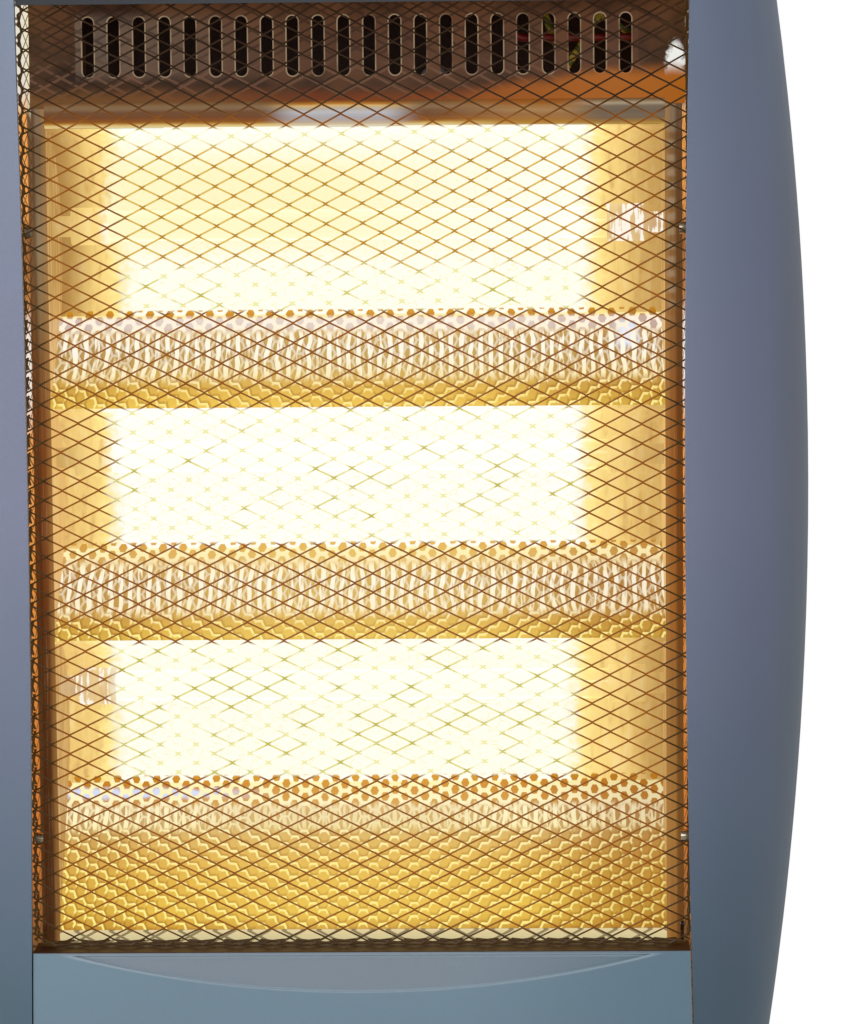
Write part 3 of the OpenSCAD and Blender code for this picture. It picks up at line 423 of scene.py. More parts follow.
def earth_sleeve():
    """Green sleeve with a yellow stripe that winds slowly along it."""
    look = Look("earth_sleeve")
    turn = look.math("SINE", look.add(look.times(look.x, 0.8), look.times(look.z, 0.9)))
    stripes = look.hues(look.fade(turn, -0.5, -0.3), (96, 120, 30), (205, 195, 70))
    look.surface(stripes, look.fade(turn, -3, 4))
    look.wear("earth_wire")


REAR_CURVE, REAR_FACE, REAR_LEVEL = 1945.0, 55.9, 270.0


def rear_paint():
    """Painted outside; the inside is dark brown as painted shade."""
    look = Look("rear_paint")
    paint = grained(look, shade(92, 98, 110)[:3], 0.5, grain=0.1, mottle=0.1)
    from_centre = look.reach(look.less(look.y, REAR_FACE - REAR_CURVE), look.less(look.z, REAR_LEVEL))
    outside = look.fade(from_centre, REAR_CURVE - 0.8, REAR_CURVE - 0.5)
    # Painted shade: dark brown on the inside
    look.set({"Base Color": look.mix(outside, shade(56, 28, 14), paint)})
    look.wear("rear_panel")


# ---- lit reflector troughs ----

HALF_CELL = math.sqrt(3) / 2
CELL_WOBBLE = 0.35


def trough_group():
    """Where a point lies on a trough: its distance up from the fold, and its place within its dimple."""
    group, tree, entry, result = new_group(
        "trough_place",
        ("Lamp Level", "Wing Y", "Wing Z", "Arc Y", "Arc Z", "Arc Radius", "Arc Start", "Dimple Height"),
        ("Along", "Cell", "Side", "Upper"),
    )
    place = tree.place_mm()
    x, y, z = tree.split(place)
    level = tree.less(z, entry["Lamp Level"])
    above = tree.add(level, FOLD_DROP)
    on_wing = tree.add(tree.times(tree.less(y, FOLD_Y), entry["Wing Y"]), tree.times(above, entry["Wing Z"]))
    angle = tree.math("ARCTAN2", tree.less(level, entry["Arc Z"]), tree.less(y, entry["Arc Y"]))
    on_arc = tree.times(tree.less(angle, entry["Arc Start"]), entry["Arc Radius"])
    in_arc = tree.math("GREATER_THAN", above, 0.0)
    along = tree.add(tree.times(on_arc, in_arc), tree.times(on_wing, tree.rest(in_arc)))
    wobble = tree.drift(place, 0.12, 2.0, CELL_WOBBLE)
    across_cells = tree.add(tree.times(x, 2 * HALF_CELL / DIMPLE_WIDTH), wobble)
    along_cells = tree.add(tree.over(along, entry["Dimple Height"]), wobble)

    def from_centre(shift_across, shift_along):
        """Offsets and squared distance from the nearest cell centre of one of the two interleaved grids."""
        across = tree.repeat(tree.add(across_cells, shift_across), HALF_CELL)
        up = tree.repeat(tree.add(along_cells, shift_along), 0.5)
        return across, up, tree.add(tree.times(across, across), tree.times(up, up))

    across_a, up_a, far_a = from_centre(0.0, 0.0)
    across_b, up_b, far_b = from_centre(HALF_CELL, 0.5)
    use_b = tree.math("LESS_THAN", far_b, far_a)
    use_a = tree.rest(use_b)
    side = tree.add(tree.times(across_a, use_a), tree.times(across_b, use_b))
    upper = tree.add(tree.times(up_a, use_a), tree.times(up_b, use_b))
    upper_size = tree.size(upper)
    slanted = tree.add(tree.times(tree.size(side), HALF_CELL), tree.times(upper_size, 0.5))
    cell = tree.times(tree.either(upper_size, slanted), 2.0)
    tree.fill(result, {"Along": along, "Cell": cell, "Side": side, "Upper": upper})
    return group


TROUGH = trough_group()

# Painted light on each lower wing from its lip (0) up to the glare (1): the hollows, the ridges between them,
# where ridges draw into upright highlight streaks and how strong these are near the middle, how far the glare
# reaches below the fold, the glare's hue and ends, how much painted shade dims the sheet at its left and
# right ends and the wing toward its right end, and how much painted light brightens the wing's middle
WING_LOOKS = {
    "top": {
        "hollow": [(0.0, 238, 198, 84), (0.14, 224, 180, 78), (0.3, 208, 168, 84), (0.42, 196, 162, 92),
                   (0.6, 190, 156, 88), (0.76, 200, 162, 94), (0.82, 220, 206, 200), (0.91, 226, 212, 204),
                   (0.95, 196, 130, 36), (1.0, 214, 150, 30)],
        "ridge": [(0.0, 253, 238, 150), (0.14, 249, 222, 128), (0.33, 251, 236, 190), (0.6, 253, 248, 232),
                  (0.8, 253, 242, 214), (0.9, 250, 240, 225), (0.96, 253, 232, 140), (1.0, 253, 248, 190)],
        "streaks": (0.22, 0.34, 0.74, 0.82), "streaks_inside": 1.0, "drop": 1.7, "dimple_height": 6.75,
        "glare": (255, 254, 240), "glare_sides": (-86.0, 83.0), "end_shade": (0.85, 0.6),
        "right_dim": 0.0, "centre_light": 0.06,
    },
    "middle": {
        "hollow": [(0.0, 228, 190, 80), (0.12, 218, 174, 76), (0.25, 206, 162, 78), (0.4, 198, 160, 86),
                   (0.6, 190, 150, 80), (0.76, 204, 160, 90), (0.87, 220, 176, 96), (1.0, 218, 160, 66)],
        "ridge": [(0.0, 253, 240, 150), (0.15, 250, 226, 138), (0.3, 252, 238, 200), (0.6, 253, 246, 224),
                  (0.85, 253, 236, 180), (1.0, 253, 246, 184)],
        "streaks": (0.20, 0.32, 0.74, 0.86), "streaks_inside": 1.0, "drop": 4.2, "dimple_height": 6.25,
        "glare": (255, 254, 247), "glare_sides": (-90.0, 80.5), "end_shade": (0.0, 0.35),
        "right_dim": 0.1, "centre_light": 0.26,
    },
    "bottom": {
        "hollow": [(0.0, 202, 152, 54), (0.1, 230, 190, 76), (0.3, 228, 184, 76), (0.5, 222, 178, 88),
                   (0.62, 214, 176, 104), (0.7, 206, 174, 118), (0.78, 206, 166, 104), (0.86, 206, 144, 64),
                   (0.94, 202, 130, 42), (1.0, 208, 140, 30)],
        "ridge": [(0.0, 253, 238, 140), (0.4, 253, 236, 144), (0.62, 253, 240, 176), (0.78, 253, 243, 200),
                  (0.9, 253, 244, 190), (1.0, 253, 246, 170)],
        "streaks": (0.62, 0.68, 0.78, 0.84), "streaks_inside": 0.6, "drop": 6.8, "dimple_height": 4.96,
        "glare": (254, 253, 239), "glare_sides": (-91.0, 77.5), "end_shade": (0.0, 0.65),
        "right_dim": 0.3, "centre_light": 0.14,
    },
}


def trough_geometry(which):
    """Group inputs that place a trough's wing and arc, worked out from its box, and the wing's length."""
    level = LAMP_LEVELS[which]
    low, high = TROUGHS[which]
    lip = Vector((LIP_Y, high.z - level))
    fold = Vector((FOLD_Y, -FOLD_DROP))
    foot = Vector((LIP_Y, low.z - level))
    wing = (fold - foot).normalized()
    span = lip - fold
    radius = span.length * ARC_SHARE
    inward = Vector((-span.y, span.x)).normalized()
    centre = (fold + lip) / 2 + inward * math.sqrt(radius ** 2 - (span.length / 2) ** 2)
    values = {
        "Lamp Level": level, "Wing Y": wing.x, "Wing Z": wing.y, "Arc Y": centre.x, "Arc Z": centre.y,
        "Arc Radius": radius, "Arc Start": math.atan2(fold.y - centre.y, fold.x - centre.x),
        "Dimple Height": WING_LOOKS[which]["dimple_height"],
    }
    return values, (fold - foot).length


def upright_streaks(look, strength_inside):
    """Bright upright streaks of painted highlight, two for each dimple, that waver and fade in places."""
    line = look.repeat(look.ragged(look.over(look.x, DIMPLE_WIDTH / 2), 0.07, 2.0, 1.2), 0.5)
    streak = look.fade(look.size(line), 0.27, 0.18)
    patches = look.fade(look.drawn_noise(1.0, 0.2, 0.2, 0.5), 0.3, 0.46)
    outside = look.fade(look.size(look.add(look.x, 8.0)), 25.0, 60.0)
    strength = look.add(look.times(outside, 1.0 - strength_inside), strength_inside)
    return look.times(streak, patches, strength)


SHEEN_BEGINS, SHEEN_ENDS = 80.0, 102.0
LEFT_END, RIGHT_END = (-88.0, -103.0), (86.0, 103.0)


def end_sheen(look, ridge, end_shade):
    """Soft gold folds of light on the sheet beside the glare, dimmer toward the ends."""
    folds = look.drawn_noise(1.0, 0.2, 0.2, 0.35, 3.0)
    outward = look.fade(look.size(look.add(look.x, 3.0)), SHEEN_BEGINS, SHEEN_ENDS)
    sheen = look.hues(outward, (250, 218, 132), (231, 192, 112))
    sheen = look.lay((250, 224, 158), look.fade(folds, 0.5, 0.75), sheen, 0.6)
    sheen = look.lay((188, 140, 84), look.fade(folds, 0.48, 0.25), sheen, 0.5)
    sheen = look.lay((250, 218, 140), ridge, sheen, 0.22)
    left, right = (
        look.times(look.fade(look.x, *end), shadow) for end, shadow in zip((LEFT_END, RIGHT_END), end_shade)
    )
    return look.lay((156, 112, 56), look.add(left, right), sheen)


GLARE_FRAY = (0.35, 3.0, 9.0)


def lamp_light(look, which, ridge=0.0, ticks=0.0):
    """Light on one lamp's tube and the sheet behind it: burnt-out glare, with gold folds beside it."""
    looks = WING_LOOKS[which]
    across = look.ragged(look.x, *GLARE_FRAY)
    left, right = looks["glare_sides"]
    core = look.band(across, left + 5, right - 5, 4.0)
    glare = look.mix(core, shade(254, 232, 146), shade(*looks["glare"]))
    if which == "top":
        softer = look.times(look.band(look.z, 354.0, 386.0, 8.0), look.fade(look.x, 70.0, -20.0))
        glare = look.lay((251, 246, 198), softer, glare)
    glare = look.lay((250, 238, 160), ticks, glare, 0.6)
    return look.mix(look.band(across, left, right, 2.5), end_sheen(look, ridge, looks["end_shade"]), glare)


def lamp_side(look, values):
    """1 on the face of the sheet that looks at the lamp and on its rolled lip, 0 on its back."""
    outward, upward = look.split(look.node("ShaderNodeTexCoord").outputs["Normal"])[1:]
    level = look.less(look.z, values["Lamp Level"])
    to_centre_y, to_centre_z = look.less(values["Arc Y"], look.y), look.less(values["Arc Z"], level)
    on_arc = look.add(look.times(outward, to_centre_y), look.times(upward, to_centre_z))
    on_wing = look.less(look.times(upward, values["Wing Y"]), look.times(outward, values["Wing Z"]))
    in_arc = look.math("GREATER_THAN", level, -FOLD_DROP)
    facing = look.between(in_arc, on_wing, look.over(on_arc, values["Arc Radius"]))
    return look.either(look.fade(facing, -0.5, -0.3), look.fade(look.y, LIP_Y + 4.5, LIP_Y + 3.5))


def lamp_space(look):
    """1 in front of the folds and within the arcs, where the lamps shine, 0 behind the troughs."""
    lit = look.fade(look.y, FOLD_Y + 3, FOLD_Y + 1)
    for which in LAMP_LEVELS:
        values = trough_geometry(which)[0]
        level = values["Lamp Level"] + values["Arc Z"]
        from_centre = look.reach(look.less(look.y, values["Arc Y"]), look.less(look.z, level))
        lit = look.either(lit, look.fade(from_centre, values["Arc Radius"] + 1, values["Arc Radius"]))
    return lit


# Shares of a dimple, from its centre (0) to its rim (1), between which its ridge comes up
SOFT_RIDGE, NET_RIDGE = (0.72, 0.88), (0.57, 0.72)


def wing_net(look, dimple, height, looks):
    """Painted highlights on a wing: a net of ridges and upright streaks, and lit lower edges near the lip.

    Returns the ridges, all the painted highlights, and the painted shade on the upper edges of the dimples.
    """
    cell = dimple["Cell"]
    low, low_full, high_full, high = looks["streaks"]
    near_glare = look.fade(height, high_full - 0.04, high)
    ridge = look.between(near_glare, look.fade(cell, *SOFT_RIDGE), look.fade(cell, *NET_RIDGE))
    in_net = look.fade(height, low, low_full)
    in_streaks = look.times(in_net, look.fade(height, high, high_full))
    streak = look.times(upright_streaks(look, looks["streaks_inside"]), in_streaks)
    slant = look.times(dimple["Side"], look.times(look.x, -0.014))
    facing = look.add(look.times(dimple["Upper"], 1.1), slant)
    lit_edge = look.times(look.fade(facing, 0.05, 0.35), look.fade(cell, 0.56, 0.74))
    shaded_edge = look.times(look.fade(facing, -0.05, -0.35), look.fade(cell, 0.5, 0.8))
    net_share = look.rest(look.times(in_streaks, 0.5 * looks["streaks_inside"]))
    net = look.add(look.times(ridge, in_net, net_share), look.times(look.rest(in_net), lit_edge))
    return ridge, look.either(net, streak), look.times(shaded_edge, look.rest(near_glare))


def wing_hollows(look, which, height, shaded_edge):
    """Painted light in the dimples' hollows: painted shade at their edges, browner at the ends and in clouds,
    lighter toward the middle.
    """
    looks = WING_LOOKS[which]
    hollow = look.ramp(height, 0.0, 1.0, looks["hollow"])
    hollow = look.lay((150, 92, 24), shaded_edge, hollow, 0.45)
    cloudy = look.noise(look.place, 0.06, 3.0)
    to_right = look.times(look.fade(look.x, 40.0, 100.0), 0.4)
    to_left = look.times(look.fade(look.x, -55.0, -105.0), 0.2)
    shadow = look.add(to_right, to_left, look.times(look.less(cloudy, 0.48), 0.4))
    hollow = look.lay((146, 92, 34), shadow, hollow)
    central = look.fade(look.size(look.x), 85.0, 15.0)
    hollow = look.lay((253, 226, 128), central, hollow, looks["centre_light"])
    if which == "bottom":
        # Painted reflection of the pale blue room in a band near the fold
        cool_reflection = look.times(look.band(height, 0.86, 0.92, 0.02), look.fade(look.x, -28.0, -60.0))
        hollow = look.lay((214, 222, 246), cool_reflection, hollow)
    if which == "top":
        # Painted reflection: a pale blue spot at the top wing's right end
        pale_reflection = look.times(look.band(look.x, 87.0, 94.0, 2.0), look.band(height, 0.6, 0.86, 0.06))
        hollow = look.lay((224, 232, 250), pale_reflection, hollow)
    return hollow


def lit_trough(which):
    """Dimpled bright sheet with its lamp's light painted on as glow: glare on the arc, a net of ridges on the
    wing.
    """
    look = Look("lit_reflector_" + which)
    looks = WING_LOOKS[which]
    values, wing_length = trough_geometry(which)
    dimple = look.group(TROUGH, values)
    along, cell = dimple["Along"], dimple["Cell"]
    rough = look.less(look.noise(look.place, 0.35, 3.0), 0.5)
    height = look.over(look.add(along, wing_length), wing_length - looks["drop"])
    height = look.add(height, look.times(rough, 0.06))
    ridge, net, shaded_edge = wing_net(look, dimple, height, looks)
    hollow = wing_hollows(look, which, height, shaded_edge)
    wing = look.mix(net, hollow, look.ramp(height, 0.0, 1.0, looks["ridge"]))
    # Painted shade: the wing darkens toward the right
    wing = look.lay((150, 92, 28), look.times(look.fade(look.x, 50.0, 104.0), looks["right_dim"]), wing)

    # Painted highlights: bright ticks on the ridges beside the glare
    ticks = look.times(look.band(cell, 0.72, 0.86, 0.05), look.fade(look.noise(look.place, 0.5), 0.5, 0.62))
    arc = lamp_light(look, which, ridge, ticks)
    glare_edge = look.add(look.add(along, looks["drop"]), look.add(look.times(ridge, 2.6), rough))
    glow = look.mix(look.fade(glare_edge, 0.0, 0.9), wing, arc)
    lit = lamp_side(look, values)
    look.glow(look.mix(lit, shade(0, 0, 0), glow))
    # Where it faces the lamp the base is a dark gold-brown so that the painted glow shows; the back is grey
    # metal
    metal = look.hues(lit, (150, 150, 148), (64, 46, 22))
    dome = look.rest(look.times(cell, cell))
    look.surface(metal, look.add(look.times(ridge, 0.15), 0.45), 1.0, (dome, 0.35, DIMPLE_DEPTH))
    look.wear("reflector_" + which)


# ---- lamps ----


def lit_tubes():
    for which in LAMP_LEVELS:
        look = Look("lit_quartz_" + which)
        look.glow(lamp_light(look, which))
        look.surface(shade(40, 34, 24), 0.1)
        look.wear("lamp_tube_" + which)

    look = Look("glowing_filament")
    look.glow(look.hues(look.noise(look.place, 1.5), (255, 225, 148), (255, 250, 224)), 1.5)
    look.wear("filaments")


CAP_GLARE = (-84.5, 80.5)
CAP_SHADE = (0.5, 0.55)
GROOVE_DEPTH = 0.4 * MM


def lamp_ceramic():
    """Caps painted with the same gold glow as the sheet behind them, with painted white highlight streaks at
    the top right and the bottom left.
    """
    look = Look("lamp_ceramic")
    grooves = look.drawn_noise(1.0, 0.1, 0.1, 0.75, 1.0)
    above = look.fade(look.z, LAMP_LEVELS["top"] - 20, LAMP_LEVELS["top"] - 10)
    below = look.fade(look.z, LAMP_LEVELS["bottom"] + 20, LAMP_LEVELS["bottom"] + 10)
    on_left = look.fade(look.x, 10.0, -10.0)
    pale = look.either(look.times(look.on_right(), above), look.times(on_left, below))
    gold = end_sheen(look, 0.0, CAP_SHADE)
    across = look.ragged(look.x, *GLARE_FRAY)
    gold = look.lay((254, 250, 226), look.band(across, *CAP_GLARE, 3.0), gold)
    streaks = look.ragged(grooves, 0.3, 2.0, 0.35)
    white = look.lay((250, 242, 228), look.fade(streaks, 0.47, 0.58), look.lay((206, 178, 150), 0.4, gold))
    look.glow(look.mix(pale, gold, white))
    look.surface(shade(50, 42, 32), 0.6, relief=(grooves, 0.3, GROOVE_DEPTH))
    look.wear("end_caps")


# ---- sheet metal round the lamps ----

MIRRORED_DIAMOND = (11.7, 6.2)
UNLIT = (26, 15, 8)


def brushed(look, along):
    """Fine brush lines that run along one axis."""
    scale = [3.0, 3.0, 3.0]
    scale["xyz".index(along)] = 0.04
    return look.drawn_noise(*scale, 1.0, 3.0)


def bright_metal(look, lines, hue, roughness):
    coat = look.scaled(shade(*hue)[:3], look.add(look.times(lines, 0.5), 0.7))
    look.surface(coat, look.add(look.times(lines, 0.12), roughness), 1.0, (lines, 0.08, GRAIN_DEPTH))


def mirrored_strands(look, across, up):
    """Mask of the guard's strands as a bright sheet behind them mirrors them."""
    run = look.over(across, MIRRORED_DIAMOND[0])
    rise = look.over(up, MIRRORED_DIAMOND[1])
    one = look.size(look.repeat(look.add(rise, run), 0.5))
    other = look.size(look.repeat(look.less(rise, run), 0.5))
    return look.fade(look.math("MINIMUM", one, other), 0.11, 0.04)


# Painted reflections and highlights on the bar, as hues from its lower edge (0) to its upper edge (1), at
# four places across
BAR_LEFT = [
    (0.0, 250, 226, 160), (0.1, 240, 208, 132), (0.17, 190, 132, 50), (0.24, 150, 86, 26),
    (0.4, 122, 72, 36), (0.6, 118, 80, 50), (0.72, 140, 108, 76), (0.82, 142, 112, 78), (0.92, 134, 96, 58),
    (1.0, 112, 76, 44)]
BAR_MIDDLE = [
    (0.0, 250, 238, 198), (0.12, 222, 200, 168), (0.2, 200, 184, 172), (0.35, 190, 184, 186),
    (0.55, 206, 208, 212), (0.7, 204, 190, 168), (0.8, 236, 196, 122), (0.88, 196, 128, 52),
    (1.0, 120, 62, 20)]
BAR_RIGHT = [
    (0.0, 206, 158, 62), (0.12, 194, 138, 54), (0.25, 180, 124, 60), (0.42, 168, 118, 66),
    (0.58, 182, 138, 88), (0.7, 174, 122, 60), (0.82, 168, 102, 36), (0.92, 162, 94, 32), (1.0, 146, 78, 24)]
BAR_FAR_RIGHT = [
    (0.0, 196, 150, 62), (0.12, 170, 128, 66), (0.25, 128, 108, 84), (0.5, 112, 98, 80),
    (0.72, 124, 108, 86), (0.82, 186, 168, 138), (0.9, 150, 128, 96), (1.0, 120, 74, 34)]


def lit_bar():
    """Bar over the top lamp, painted as glow with its reflections: brown at the left, a pale blue shine near
    the middle, warm at the right.
    """
    look = Look("lit_bar")
    low, high = box_mm("top_bar")
    lines = brushed(look, "x")
    level = look.ragged(look.z, 0.05, 2.0, 1.2)
    left, middle, right, far_right = (
        look.ramp(level, low.z, high.z, stops) for stops in (BAR_LEFT, BAR_MIDDLE, BAR_RIGHT, BAR_FAR_RIGHT)
    )
    colour = look.mix(look.band(look.x, -24.0, 16.0, 8.0), left, middle)
    colour = look.mix(look.fade(look.x, 20.0, 60.0), colour, right)
    colour = look.mix(look.fade(look.x, 66.0, 84.0), colour, far_right)
    look.glow(look.lay((90, 60, 40), lines, colour, 0.25), 0.85)
    bright_metal(look, lines, (44, 40, 36), 0.3)
    look.wear("top_bar")


# Painted light on the rail, as hues from its lower edge (0) to its upper edge (1), dark near its lower edge
# as painted shadow
RAIL = [
    (0.0, 44, 24, 10), (0.35, 78, 42, 16), (0.42, 190, 174, 128), (0.7, 214, 200, 150), (1.0, 230, 210, 158)]


def lit_rail():
    # The rail is painted as glow, with painted reflections of the guard's strands over its brush lines
    look = Look("lit_rail")
    low, high = box_mm("bottom_rail")
    lines = brushed(look, "x")
    colour = look.ramp(look.z, low.z, high.z, RAIL)
    colour = look.lay((78, 58, 30), mirrored_strands(look, look.x, look.z), colour, 0.75)
    look.glow(look.lay((142, 128, 92), lines, colour, 0.2))
    bright_metal(look, lines, (60, 56, 44), 0.35)
    look.wear("bottom_rail")


BEAD_REFLECTION_PITCH = 6.2
BEAD_REFLECTION_LEVELS = (334.0, 392.0)
UNDER_BAR = 393.0
# Painted light and shade on the posts, as hues from foot (0) to head (1): their front faces, and their inner
# faces beside the lamps
POST_LEFT = [
    (0.0, 66, 38, 18), (0.2, 74, 40, 16), (0.35, 90, 49, 21), (0.5, 112, 58, 22), (0.66, 118, 68, 30),
    (0.74, 128, 98, 60), (0.84, 146, 124, 92), (0.93, 124, 100, 72), (1.0, 100, 78, 54)]
POST_RIGHT = [
    (0.0, 134, 86, 37), (0.15, 160, 112, 54), (0.28, 146, 100, 48), (0.42, 154, 94, 38), (0.6, 146, 86, 34),
    (0.75, 136, 91, 48), (0.9, 124, 90, 54), (1.0, 106, 78, 50)]
POST_INSIDE = [
    (0.0, 160, 118, 62), (0.3, 166, 124, 68), (0.45, 208, 164, 98), (0.7, 206, 162, 96), (0.8, 166, 124, 66),
    (1.0, 162, 122, 66)]


def lit_posts():
    """Posts painted as glow in shaded browns: dull grey-brown near the top bar, deep brown lower down, warmer
    at the right.
    """
    look = Look("lit_posts")
    low, high = box_mm("right_post")
    lines = brushed(look, "z")
    level = look.ragged(look.z, 0.05, 3.0, 24.0)
    left, right, gold = (
        look.ramp(level, low.z, high.z, stops) for stops in (POST_LEFT, POST_RIGHT, POST_INSIDE)
    )
    colour = look.mix(look.on_right(), left, right)
    colour = look.lay((126, 104, 80), look.band(look.z, UNDER_BAR, high.z + 10, 1.0), colour)
    colour = look.lay((176, 136, 92), look.fade(lines, 0.5, 0.75), colour, 0.4)
    outward = look.less(look.size(look.x), low.x)
    # Painted highlight beside the posts' inner edges, painted shade toward their outer edges
    colour = look.lay((172, 122, 64), look.fade(outward, 2.4, 0.4), colour, 0.5)
    colour = look.lay((64, 28, 8), look.fade(outward, 2.8, 4.2), colour, 0.6)
    # Painted reflections of the dimples, as beads on the right post
    turns = look.math("SINE", look.add(look.times(look.z, 2 * math.pi / BEAD_REFLECTION_PITCH), look.times(level, 0.3)))
    bead_reflections = look.times(
        look.fade(turns, -0.8, 0.9), look.band(outward, 0.7, 3.2, 0.9), look.band(look.z, *BEAD_REFLECTION_LEVELS, 6.0),
        look.on_right(),
    )
    colour = look.lay((178, 160, 130), bead_reflections, colour, 0.4)
    colour = look.lay(UNLIT, look.fade(look.y, high.y - 0.5, high.y - 0.2), colour)

    # Painted lamp light on the posts' inner faces, unlit where the lamps don't reach
    folds = look.drawn_noise(1.0, 0.5, 0.08, 0.6, 3.0)
    gold = look.lay((232, 190, 122), look.fade(folds, 0.4, 0.65), gold, 0.4)
    gold = look.mix(lamp_space(look), shade(*UNLIT), gold)
    inner_face = look.times(look.fade(look.y, low.y + 1.2, low.y + 2.2), look.fade(outward, 0.6, 0.3))
    look.glow(look.mix(inner_face, colour, gold))
    bright_metal(look, lines, (34, 26, 19), 0.4)
    look.wear("right_post", "left_post")


# Painted reflections on the side plates, as hues from the guard's foot (0) to its head (1): at their front
# edges, and farther back
PLATE_FRONT = [
    (0.0, 120, 82, 46), (0.1, 200, 112, 46), (0.25, 204, 124, 54), (0.42, 220, 144, 66), (0.53, 226, 158, 90),
    (0.585, 236, 230, 222), (0.645, 236, 228, 214), (0.67, 180, 120, 66), (0.74, 150, 92, 46),
    (0.77, 230, 154, 78), (0.87, 234, 160, 84), (0.89, 226, 220, 204), (1.0, 230, 226, 208)]
PLATE_DEEP = [
    (0.0, 52, 30, 16), (0.3, 66, 38, 18), (0.55, 92, 50, 20), (0.75, 100, 62, 32), (0.87, 92, 72, 48),
    (0.89, 230, 218, 184), (1.0, 240, 228, 192)]


def lit_side_plates():
    """Bright plates beside the troughs, painted as glow with their reflections of the guard: pale at the
    front edge, gold behind.
    """
    look = Look("lit_side_plates")
    low, high = box_mm("front_grille")
    level = look.ragged(look.z, 0.07, 3.0, 14.0)
    front, deep = (look.ramp(level, low.z, high.z, stops) for stops in (PLATE_FRONT, PLATE_DEEP))
    right = look.on_right()
    front_edge = look.ragged(look.y, 0.2, 2.0, 5.0)
    colour = look.mix(look.either(look.fade(front_edge, -27.0, -31.0), right), deep, front)
    # Painted glints on the right plate beside the vent
    glints = look.fade(look.noise(look.place, 0.14, 3.0), 0.5, 0.6)
    beside_vent = look.times(right, look.fade(look.z, 402.0, 405.0))
    colour = look.mix(beside_vent, colour, look.hues(glints, (74, 62, 48), (206, 204, 190)))
    mirrored = mirrored_strands(look, look.times(look.y, 0.62), look.z)
    colour = look.lay((58, 38, 18), mirrored, colour, 0.85)
    post_back = box_mm("right_post")[1].y
    beside_lamps = look.times(
        right, look.fade(look.z, 404.0, 400.0), look.fade(look.y, post_back, post_back - 1)
    )
    behind = look.times(look.fade(look.y, -18.0, -14.0), look.rest(beside_lamps))
    look.glow(look.lay(UNLIT, behind, colour))
    bright_metal(look, brushed(look, "z"), (60, 55, 48), 0.2)
    look.wear("right_side_plate", "left_side_plate")


SLOT_COUNT = 22
SLOT_PITCH = 8.6
SLOT_WIDTH, SLOT_HEIGHT = 3.9, 20.0
SLOT_LEVEL = 422.5
# Place of a painted white highlight near the vent's right end
VENT_SHINE = (107.0, 415.5)
FOOT_GLOW = (409.5, 403.5)
FOOT_HUES = [(0.0, 112, 72, 34), (0.4, 114, 50, 12), (0.7, 134, 64, 12), (1.0, 168, 94, 22)]


def vent_sheet():
    """Dark heat-browned plate, painted as glow, with painted highlights on the cut edges round its slots and
    orange lamp light at its foot.
    """
    look = Look("vent_sheet")
    stain_and_light_noise = look.noise(look.place, 0.05, 4.0)
    across = look.repeat(look.add(look.x, SLOT_PITCH / 2), SLOT_PITCH / 2)
    straight = (SLOT_HEIGHT - SLOT_WIDTH) / 2
    up = look.either(look.less(look.size(look.less(look.z, SLOT_LEVEL)), straight), 0.0)
    half_row = SLOT_COUNT / 2 * SLOT_PITCH
    in_row = look.fade(look.size(look.x), half_row + 0.3, half_row - 0.3)
    rim_highlight = look.times(
        look.fade(look.reach(across, up), SLOT_WIDTH / 2 + 0.55, SLOT_WIDTH / 2 + 0.2), in_row,
        look.fade(look.noise(look.place, 0.12), 0.25, 0.6),
    )
    between_slots = look.times(look.band(look.z, SLOT_LEVEL - 10, SLOT_LEVEL + 10, 3.0), in_row)
    plate = look.hues(look.fade(stain_and_light_noise, 0.3, 0.7), (40, 21, 10), (88, 55, 32))
    paler = look.hues(look.fade(look.x, -95.0, -10.0), (128, 110, 94), (100, 62, 40))
    plate = look.mix(look.times(between_slots, 0.45), plate, paler)
    # Painted reflections of the guard's strands: dark above, warm and light lower down
    strands = look.hues(look.fade(look.z, 422.0, 412.0), (30, 18, 10), (120, 84, 62))
    plate = look.mix(look.times(mirrored_strands(look, look.x, look.z), 0.55), plate, strands)
    # Painted highlights on the slots' cut edges
    plate = look.lay((156, 132, 104), rim_highlight, plate)
    shine_x = look.ragged(look.times(look.less(look.x, VENT_SHINE[0]), 1.5), 0.4, 2.0, 9.0)
    from_shine = look.reach(shine_x, look.times(look.less(look.z, VENT_SHINE[1]), 0.6))
    shine = look.fade(look.add(from_shine, look.times(stain_and_light_noise, 4.0)), 7.5, 5.0)
    plate = look.lay((246, 246, 240), shine, plate)
    height = look.add(look.z, look.times(look.less(stain_and_light_noise, 0.5), 8.0))
    height = look.less(height, look.times(look.fade(look.x, 30.0, 90.0), 7.0))
    warm = look.ramp(look.fade(look.x, -100.0, 100.0), 0.0, 1.0, FOOT_HUES)
    look.glow(look.mix(look.fade(height, *FOOT_GLOW), plate, warm), 0.9)
    look.surface(shade(30, 24, 18), look.add(look.times(stain_and_light_noise, 0.3), 0.35), 0.6)
    look.wear("vent_plate")


# ---- expanded metal guard ----

STRAND = 0.85
DIAMOND = (12.42, 6.62)
FOLD_RADIUS = 1.2
SPARE_WIDTH, SPARE_HEIGHT = 10, 50
ROWS_OVER_HEAD = 4
FOOT_FLANGE_CUT = 2
GUARD_LOW, GUARD_HIGH = box_mm("front_grille")
GUARD_Y = GUARD_LOW.y + STRAND / 2
GUARD_HALF_WIDTH = GUARD_HIGH.x - STRAND / 2
GUARD_FOOT, GUARD_HEAD = GUARD_LOW.z + STRAND / 2, GUARD_HIGH.z
GUARD_FLANGE = GUARD_HIGH.y - GUARD_Y


